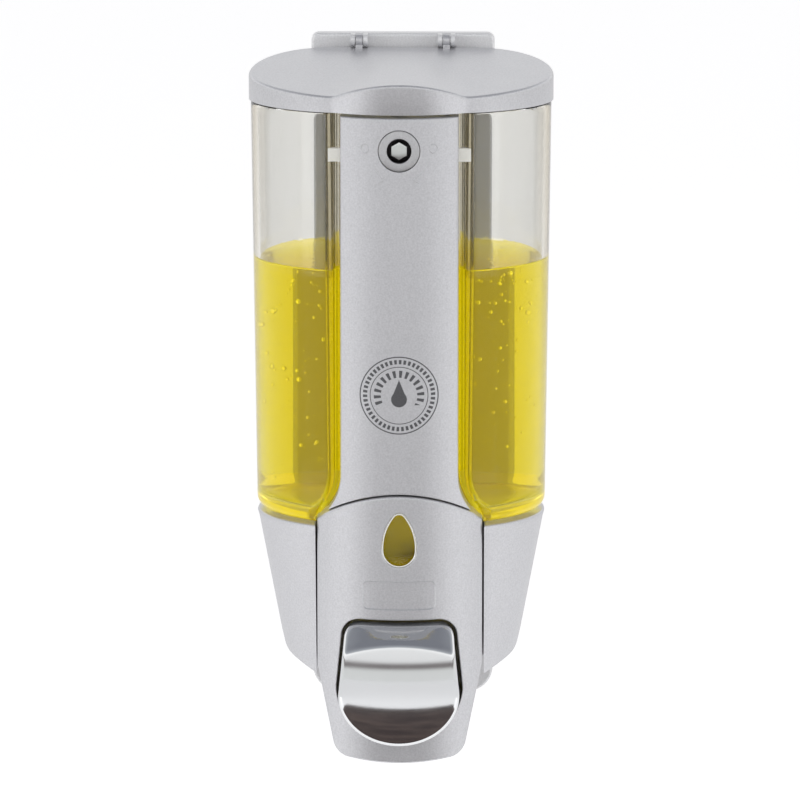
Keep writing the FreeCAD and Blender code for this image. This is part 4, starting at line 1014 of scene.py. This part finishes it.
column_form = moulding(column_edge, [lock_seat], skin_height, 0.5, column_rear, wall=1.8, hole_edge=0.15,
                       thin=np.clip(from_tip / 22, 0.004, 1))


def from_middle(maths, across, up):
    """How far a place is from a round thing's middle."""
    return maths("SQRT", maths("ADD", maths("MULTIPLY", across, across), maths("MULTIPLY", up, up)))


def printed_silver(name, centre, radius):
    """Silver paint with a round mark printed on it: two rings, a row of strokes and a drop."""
    material = silver.copy()
    material.name = name
    maths, at = sums_in(material.node_tree), place_on(material)
    x = maths("DIVIDE", at["X"], radius)
    z = maths("DIVIDE", maths("SUBTRACT", at["Z"], centre), radius)
    out = from_middle(maths, x, z)
    angle = maths("ARCTAN2", x, z)

    def near(middle, half):
        return maths("LESS_THAN", maths("ABSOLUTE", maths("SUBTRACT", out, middle)), half)

    def strokes(count, share, middle, half):
        wave = maths("SINE", maths("MULTIPLY", angle, count))
        return maths("MULTIPLY", maths("GREATER_THAN", wave, share), near(middle, half))

    belly = maths("LESS_THAN", from_middle(maths, x, maths("ADD", z, 0.10)), 0.20)
    side = maths("MULTIPLY", maths("SUBTRACT", 0.40, z), 0.40)
    tip = maths("MULTIPLY", maths("LESS_THAN", maths("ABSOLUTE", x), side), maths("GREATER_THAN", z, -0.02))
    half_row = maths("MULTIPLY", strokes(22.0, 0.1, 0.55, 0.09), maths("GREATER_THAN", z, -0.25))
    ink = near(0.985, 0.015)
    for mark in (near(0.73, 0.010), strokes(46.0, -0.2, 0.86, 0.055), belly, tip, half_row):
        ink = maths("MAXIMUM", ink, mark)
    on_front_face = maths("LESS_THAN", place_on(material, "Normal")["Y"], -0.5)
    retinted(material, maths("MULTIPLY", maths("MULTIPLY", ink, on_front_face), 0.85), (0.035, 0.035, 0.04))
    return material


def rod_along(path, radius, reference, closed=False):
    """A round rod that follows a line of points; reference is a direction it never runs along."""
    path = np.asarray(path, float)
    ahead = np.roll(path, -1, 0) - np.roll(path, 1, 0) if closed else np.gradient(path, axis=0)
    ahead /= np.linalg.norm(ahead, axis=1)[:, None]
    up = reference - ahead * (ahead @ reference)[:, None]
    up /= np.linalg.norm(up, axis=1)[:, None]
    across = np.cross(ahead, up)
    sides = 10
    rings = []
    for k in range(sides):
        a = 2 * math.pi * k / sides
        rings.append(path + radius * (math.cos(a) * up + math.sin(a) * across))
    points = np.stack(rings, 1).reshape(-1, 3)
    faces = []
    for k in range(len(path) - (0 if closed else 1)):
        faces += bridge(k * sides, (k + 1) % len(path) * sides, sides)
    if not closed:
        faces += [tuple(range(sides)), tuple(range(len(points) - sides, len(points)))]
    return points, faces


def raised_line(line, radius, closed=False):
    """A fine bead on the column's face, drawn in (x, z) and half sunk in it."""
    line = np.asarray(line, float)
    path = np.column_stack([line[:, 0], -skin_height(line[:, 0], line[:, 1]) + radius * 0.45, line[:, 1]])
    return rod_along(path, radius, (0.0, -1.0, 0.0), closed=closed)


def turn_mark(sign):
    """A small ring beside the lock, and an arc under it that ends in an arrow head."""
    ring = curved((sign * 8.8, lock_z + 0.6), 1.0, 1.15, 0, 360, 28)
    arc = curved((0, lock_z), 7.8, 8.2, -90 + sign * 26, -90 + sign * 78, 26)
    end = arc[0]
    head = np.array([end + (sign * 1.5, 1.4), end + (sign * 0.2, 0.0), end + (sign * 1.9, -0.9)])
    return joined(raised_line(ring, 0.2, closed=True), raised_line(arc, 0.18), raised_line(head, 0.2))


column_silver = printed_silver("silver_printed", mm * 4.2, mm * 10.2)
piece("column_shell", on_front(column_form), "frame", column_silver, ["front_column"])
piece("turn_marks", joined(turn_mark(1), turn_mark(-1)), "frame", silver)
screw_steel = finish_of("screw_steel", (0.55, 0.55, 0.54), 0.32, metallic=1.0, Fleck_Size=0.35, Fleck=0.15,
                        Mottle=0.12, Uneven_Gloss=0.12, Bump=0.25)
painted("column_screws", screw_steel)


# ---- Lock ----
# A painted steel barrel with a hexagon post in a deep ring shaped well, which takes a tube key. A
# sprung nylon clip holds it in the column, and the cam screwed to its rear catches the lid's hook.
lock_face_y = -71.1
barrel = turned([(0.0, 5.0), (3.1, 5.0), (3.1, 0.25), (3.32, 0.0), (4.95, 0.0), (5.15, 0.06), (5.3, 0.25),
                 (5.3, 2.4), (4.3, 2.5), (4.3, 6.0), (3.7, 6.05), (3.7, 7.9), (4.3, 7.95), (4.3, 11.7),
                 (0.0, 11.7)], (0, lock_face_y, lock_z), "y", 96)
corners = np.radians(np.arange(300, -60, -60))
post_rings = [np.column_stack([np.sin(corners) * w, np.full(6, deep), np.cos(corners) * w])
              + (0, lock_face_y, lock_z)
              for w, deep in ((2.31, 5.2), (2.31, 0.62), (2.24, 0.5), (2.0, 0.42), (0.5, 0.40))]
lock_paint = finish_of("lock_paint", (0.56, 0.56, 0.57), 0.38, metallic=0.7, Fleck_Size=0.4, Fleck=0.3,
                       Mottle=0.08, Uneven_Gloss=0.1, Bump=0.3)
bright_steel = finish_of("bright_steel", (0.68, 0.70, 0.68), 0.30, metallic=0.9, Fleck_Size=0.3, Fleck=0.12,
                         Mottle=0.1, Uneven_Gloss=0.15, Bump=0.2)
# Painted shade: the lock's paint is darkened almost to black inside the ring shaped well.
well_maths, well_at = sums_in(lock_paint.node_tree), place_on(lock_paint)
well_out = from_middle(well_maths, well_at["X"], well_maths("SUBTRACT", well_at["Z"], mm * lock_z))
retinted(lock_paint, well_maths("LESS_THAN", well_out, mm * 3.18), (0.035, 0.03, 0.032))
piece("lock_barrel_face", barrel, "lock", lock_paint, ["lock_barrel"])
piece("lock_post", stacked(post_rings), "lock", bright_steel)
painted("lock_cam", bright_steel)
painted("lock_cam_screw", screw_steel)
nylon = finish_of("natural_nylon", (0.78, 0.77, 0.71), 0.48, Fleck_Size=0.8, Fleck=0.05, Mottle=0.06,
                  Uneven_Gloss=0.1, Bump=0.15)
painted("lock_retainer", nylon)


# ---- Front cover ----
# The silver lower cover, with the arched joint above, an egg-shaped sight window, a shallow plain
# nameplate recess and the button's opening with its guide sleeve. Four screws hold it from behind.
cover_taper_top = -69.0
cover_low_half_width = 17.4
cover_low_z = -88.4
cover_bottom = box_mm("front_cover")[0][2]
cover_corner = 4.6
bulkhead_y = box_mm("front_cover")[1][1]


def arc_through(p, q, r, count):
    """Points on the circle through p, q and r, from p to just before r."""
    p, q, r = (complex(*v) for v in (p, q, r))
    w = (r - p) / (q - p)
    centre = p + (q - p) * (w - abs(w) ** 2) / (w - w.conjugate())
    a0 = np.angle(p - centre)
    sweep = (np.angle(r - centre) - a0 + math.pi) % (2 * math.pi) - math.pi
    a = a0 + sweep * np.linspace(0, 1, count + 1)[:-1]
    return np.column_stack([centre.real + abs(p - centre) * np.cos(a),
                            centre.imag + abs(p - centre) * np.sin(a)])


cover_tip, _, shoulder = arch_meets_flare(0.0)
chin_x, chin_z = cover_low_half_width - cover_corner, cover_bottom + 0.8
chin_mid = (cover_low_half_width - cover_corner * 0.32, cover_low_z - (cover_low_z - chin_z) * 0.7)
cover_right = np.vstack([
    arc_through((0, cover_bottom), (chin_x / 2, cover_bottom + 0.2), (chin_x, chin_z), 12),
    arc_through((chin_x, chin_z), chin_mid, (cover_low_half_width, cover_low_z), 12),
    between((cover_low_half_width, cover_low_z), (cover_half_width, cover_taper_top), 20),
    between((cover_half_width, cover_taper_top), shoulder[-1], 40), shoulder[::-1],
    arch_line(0.0, cover_tip[0])[::-1]])
cover_edge = spaced(with_mirror(cover_right), 0.9, corner=25)

window_top, window_bottom = -26.9, -41.1


def egg_line(grow):
    """The sight window's outline: a small circle above a larger one, joined by flat arcs."""
    r1, r2, big = 1.9 + grow, 4.4 + grow, 14.0 + grow
    z1, z2 = window_top - 1.9, window_bottom + 4.4
    apart = z1 - z2
    rise = ((big - r2) ** 2 - (big - r1) ** 2 + apart ** 2) / (2 * apart)
    back = math.sqrt((big - r2) ** 2 - rise ** 2)
    low, high = math.degrees(math.atan2(-rise, back)), math.degrees(math.atan2(apart - rise, back))
    right = np.vstack([curved((0, z2), r2, r2, -90, low, 16),
                       curved((-back, z2 + rise), big, big, low, high, 24),
                       curved((0, z1), r1, r1, high, 90, 16), [(0, z1 + r1)]])
    return with_mirror(right)


button_mid_z = -74.0
button_top_z = -56.0


def button_line(grow):
    """The push button's outline: a half-ellipse below, sides that lean in and a rounded top."""
    a, b, w, r = 15.7 + grow, 13.1 + grow, 14.3 + grow, 4.2 + grow
    top = button_top_z + grow
    right = np.vstack([curved((0, button_mid_z), a, b, -90, 0, 40),
                       between((a, button_mid_z), (w, top - r), 12),
                       curved((w - r, top - r), r, r, 0, 90, 12),
                       between((w - r, top), (0, top), 10), [(0, top)]])
    return with_mirror(right)


def rounded_rectangle(x, z0, z1, r):
    """A rectangle x wide to each side of the middle line, with corners of radius r."""
    right = np.vstack([between((0, z0), (x - r, z0), 10), curved((x - r, z0 + r), r, r, -90, 0, 8),
                       between((x, z0 + r), (x, z1 - r), 6), curved((x - r, z1 - r), r, r, 0, 90, 8),
                       between((x - r, z1), (0, z1), 10), [(0, z1)]])
    return with_mirror(right)


nameplate = rounded_rectangle(9.5, -52.5, -44.8, 1.4)
nameplate_edges = [spaced(drawn_in(nameplate, by), 0.5, corner=80) for by in (0.0, 0.35)]


def below_skin(depth):
    """A height that keeps a depth under the common front skin."""
    return lambda x, z: skin_height(x, z) - depth


def cover_height(x, z):
    """The skin, with the nameplate's floor sunk in it."""
    middle = nameplate.mean(0)
    sunk = is_inside(nameplate_edges[1], middle + (np.column_stack([x, z]) - middle) * 0.9999)
    return skin_height(x, z) - 0.3 * sunk


def cover_rear(x, z):
    """Where the cover's side walls end: at the tank above, and at the housing's back plate below."""
    return np.where(z > -32.0, 56.1, -bulkhead_y)


egg = spaced(egg_line(0.08), 0.5, corner=80)
opening = spaced(button_line(0.8), 0.9, corner=80)
cover_form = moulding(cover_edge, [egg, opening], cover_height, 0.6, cover_rear, wall=1.6, hole_edge=0.35,
                      features=nameplate_edges, step=1.1)
nozzle_hole = turned([(0.0, -88.0), (4.2, -88.0), (4.2, -96.0), (0.0, -96.0)], (0, port_y, 0), "z", 48)
sleeve_edge = spaced(button_line(2.2), 1.0, corner=80)
sleeve_hole = spaced(button_line(0.82), 1.0, corner=80)
sleeve = on_front(moulding(sleeve_edge, [sleeve_hole], below_skin(0.9), 0.05, level(64.0)))
cover_shape = carved(on_front(cover_form), [("DIFFERENCE", nozzle_hole)])
piece("cover_shell", joined(cover_shape, sleeve), "frame", silver, ["front_cover"])
painted("cover_screws", screw_steel)


# ---- Sight window ----
# A clear egg shaped lens that shows how much soap stands in the well. Its flange sits behind the
# cover, and a pale bead runs round its edge just below the cover's face, a painted highlight for
# the lens's bright bevel.
lens_edge = spaced(egg_line(0.0), 0.4, corner=80)
flange_edge = spaced(egg_line(1.3), 0.5, corner=80)
lens_sunk = 0.3
lens = moulding(lens_edge, [], below_skin(lens_sunk), 0.35, below_skin(2.1))
flange = moulding(flange_edge, [], below_skin(2.03), 0.1, below_skin(2.47))
lens_shape = carved(on_front(lens), [("UNION", on_front(flange))])
lens_clear = clear_plastic("clear_lens", (0.97, 0.975, 0.96), styrene_ior, 0.05)
sight_lens = piece("sight_lens", lens_shape, "frame", lens_clear, ["sight_window"],
                   sharp=30)
sight_lens.visible_diffuse = False
sight_lens.visible_shadow = False
rim_x, rim_z = spaced(egg_line(-0.16), 0.25, corner=80).T
rim_path = np.column_stack([rim_x, lens_sunk - skin_height(rim_x, rim_z), rim_z])
# Painted highlight: a pale bead stands for the light that the lens's bevel catches.
rim_highlight_paint = finish_of("painted_rim_highlight", (0.86, 0.86, 0.83), 0.25, Fleck_Size=0.5, Fleck=0.04, Mottle=0.04,
                     Uneven_Gloss=0.08, Bump=0.1)
lens_rim = rod_along(rim_path, 0.15, (0.0, 1.0, 0.0), closed=True)
piece("lens_rim", lens_rim, "frame", rim_highlight_paint)


# ---- Base housing ----
# The silver housing behind the cover, whose two wings carry on the tank's sides and lean in to a
# rounded foot. A back plate closes the cover and carries the pump.
base_top = box_mm("base_housing")[1][2]
base_bottom = -73.9
base_rise = 0.5
base_taper = 0.19
base_round = 4.0
channel_half_width = cover_half_width + shadow_gap
top_inset = 1.8


def wing_plan(inset, x_in, y_back, rear):
    """The housing's plan at one height: the wings' sides, the flat rear, and the channel in front."""
    a, b, corner = half_width - inset, front_depth - inset, rear_corner - inset
    start = -math.degrees(math.acos(x_in / a))
    side = np.vstack([curved((0, widest_y), a, b, start, 0, 40),
                      curved((a - corner, widest_y), corner, rear - widest_y, 0, 90, 24),
                      between((a - corner, rear), (0, rear), 8), [(0, rear)]])
    channel = [between((0, y_back), (x_in, y_back), 8), between((x_in, y_back), (x_in, side[0, 1]), 20)]
    return with_mirror(np.vstack([*channel, side]))


def foot_height(x):
    """Height of the wings' underside, which rises from the cover to a rounded corner at each side."""
    under = np.array([1, base_rise]) / math.hypot(1, base_rise)
    side = np.array([base_taper, 1]) / math.hypot(1, base_taper)
    bend = np.array([channel_half_width, base_bottom])
    gap = np.array([half_width - top_inset, base_top + 0.5]) - bend
    corner = bend + under * (gap[0] * side[1] - gap[1] * side[0]) / (under[0] * side[1] - under[1] * side[0])
    start = corner - under * base_round * math.tan(math.acos(under @ side) / 2)
    centre = start + np.array([-under[1], under[0]]) * base_round
    out = np.abs(x)
    slope = base_bottom + base_rise * np.clip(out - channel_half_width, 0, None)
    bent = centre[1] - np.sqrt(np.clip(base_round ** 2 - (out - centre[0]) ** 2, 0, None))
    return np.where(out > start[0], bent, slope)


def wing_ring(share, drawn, lifted):
    """One ring of the wings, a share of the way from the top rim to the underside."""
    draw = min(drawn, 0.6)
    near, far = [wing_plan(inset + drawn, channel_half_width + draw, bulkhead_y + 2.0 + draw, rear_y - draw)
                 for inset in (0.0, 10.0)]
    z = np.full(len(near), base_top - share * (base_top - base_bottom))
    for _ in range(14):        # the inset and the height settle together
        inset = top_inset + base_taper * (base_top + 0.5 - z)
        ring = near + (far - near) * (inset / 10.0)[:, None]
        z = base_top + share * (foot_height(ring[:, 0]) - base_top)
    return np.column_stack([ring, z + lifted])


soft = [(0.6 * (1 - math.cos(a)), 0.6 * (1 - math.sin(a))) for a in np.linspace(0, math.pi / 2, 6)]
rings = [wing_ring(0.0, drawn, -lifted) for lifted, drawn in soft]
rings += [wing_ring(share, 0.0, 0.0) for share in np.linspace(0.06, 0.95, 14)]
rings += [wing_ring(1.0, drawn, lifted) for drawn, lifted in soft]
wing_points, wing_faces = stacked(rings)
wing_faces.pop(1)        # a net that follows foot_height closes the underside instead
rim_count = len(rings[0])
under_flat, under_tris = net([rings[-1][:, :2]], 2.0)
under_points = np.column_stack([under_flat[rim_count:], foot_height(under_flat[rim_count:, 0])])
wing_faces += [tuple(len(wing_points) - rim_count + k for k in face) for face in under_tris]
wings = np.vstack([wing_points, under_points]), wing_faces
back_plate_right = np.vstack([cover_right[cover_right[:, 1] < base_top - 0.5],
                              between((cover_half_width, base_top), (0, base_top), 20), [(0, base_top)]])
back_plate_edge = spaced(with_mirror(back_plate_right), 1.2, corner=25)
back_plate = on_front(moulding(back_plate_edge, [], level(-bulkhead_y - 0.05), 0.1,
                               level(-bulkhead_y - 2.0)))
base_hangers = [hanger_block(hanger_x, -hanger_z), hanger_block(-hanger_x, -hanger_z)]
piece("base_shell", joined(wings, back_plate, *base_hangers), "frame", silver,
      ["base_housing"])


# ---- Push button ----
# A chrome plated cap with a crowned face and a sloping facet across its top, where the thumb rests.
# It slides straight back into the cover's sleeve and pushes the piston.
crest_y, crest_z = -79.4, -77.0
face_radius, face_crown = 75.0, 62.0
facet_angle = math.radians(33.0)
facet_radius = 38.0
facet_y = -71.2
button_rear_y = -63.0
pump_z = -72.0


def button_height(x, z):
    """The button's crowned face, and the facet that slopes back from its crest to the top."""
    out = face_crown - (face_radius - np.sqrt(face_radius ** 2 - (z - crest_z) ** 2))
    face = -(crest_y + face_crown) + np.sqrt(out ** 2 - x ** 2)
    rise = np.sqrt(facet_radius ** 2 - x ** 2) - facet_radius
    facet = -facet_y + (rise - (z - button_top_z) * math.cos(facet_angle)) / math.sin(facet_angle)
    return -blended(-face, -facet, 1.5)


button_edge = spaced(button_line(0), 0.6, corner=80)
button_form = moulding(button_edge, [], button_height, 1.1, level(-button_rear_y), wall=1.8, step=0.6,
                       steps=9)
rod_boss = turned([(0.0, -78.3), (4.8, -78.3), (4.8, -68.2), (4.6, -68.0), (3.23, -68.0), (3.23, -72.5),
                   (0.0, -72.5)], (0, 0, pump_z), "y", 64)
chrome = finish_of("chrome_plate", (0.80, 0.81, 0.82), 0.07, metallic=1.0, Fleck_Size=1.2, Fleck=0.02,
                   Mottle=0.03, Uneven_Gloss=0.03, Bump=0.01)
piece("button_cap", joined(on_front(button_form), rod_boss), "button", chrome,
      ["push_button"])


# ---- Pump ----
# The white pump behind the button: a cylinder whose piston the button drives, ball valves above and
# below, and steel springs. A ribbed nut draws its flange up to the tank's neck over a soft gasket.
white = finish_of("white_plastic", (0.80, 0.80, 0.79), 0.40, Fleck_Size=0.8, Fleck=0.04, Mottle=0.05,
                  Uneven_Gloss=0.1, Bump=0.12)
rubber = finish_of("silicone_rubber", (0.58, 0.57, 0.55), 0.62, Fleck_Size=0.6, Fleck=0.06, Mottle=0.08,
                   Uneven_Gloss=0.1, Bump=0.2)
spring_steel = finish_of("spring_steel", (0.52, 0.52, 0.53), 0.25, metallic=1.0, Fleck_Size=0.25, Fleck=0.15,
                         Mottle=0.12, Uneven_Gloss=0.12, Bump=0.15)
ball_steel = finish_of("ball_steel", (0.66, 0.66, 0.67), 0.10, metallic=1.0, Fleck_Size=0.5, Fleck=0.05,
                       Mottle=0.06, Uneven_Gloss=0.05, Bump=0.03)
for node in ("pump_body", "pump_cap", "pump_nut", "piston", "nozzle"):
    painted(node, white)
for node in ("piston_seal", "tank_outlet_gasket"):
    painted(node, rubber)
for node in ("inlet_valve_ball", "outlet_valve_ball"):
    painted(node, ball_steel)
painted("pump_screws", screw_steel)


def spring(radius, wire, turns, length):
    """A compression spring that stands on the origin, its end turns closed."""
    closed = 0.6
    a = np.linspace(0, turns, int(40 * turns) + 1)
    slow = wire * 1.02
    fast = (length - wire - 2 * closed * slow) / (turns - 2 * closed)
    rise = np.where((a < closed) | (a > turns - closed), slow, fast)
    height = np.concatenate([[0], np.cumsum((rise[1:] + rise[:-1]) / 2 * np.diff(a))])
    height *= (length - wire) / height[-1]
    turn = 2 * math.pi * a
    path = np.column_stack([radius * np.cos(turn), radius * np.sin(turn), height + wire / 2])
    return rod_along(path, wire / 2, (0.0, 0.0, 1.0))


return_low, return_high = box_mm("return_spring")
points, faces = spring(5.0, 0.9, 6, return_high[1] - return_low[1])
points = points[:, (0, 2, 1)] * (1, 1, -1) + (0, return_low[1], pump_z)
return_spring = piece("return_spring_coil", (points, faces), "frame", spring_steel,
                      ["return_spring"])
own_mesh(return_spring)
for name in ("inlet", "outlet"):
    low, high = box_mm(name + "_valve_spring")
    points, faces = spring(1.5, 0.5, 2.5, high[2] - low[2])
    coil = piece(name + "_valve_coil", (points + (0, port_y, low[2]), faces), "frame",
                 spring_steel, [name + "_valve_spring"])
    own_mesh(coil)
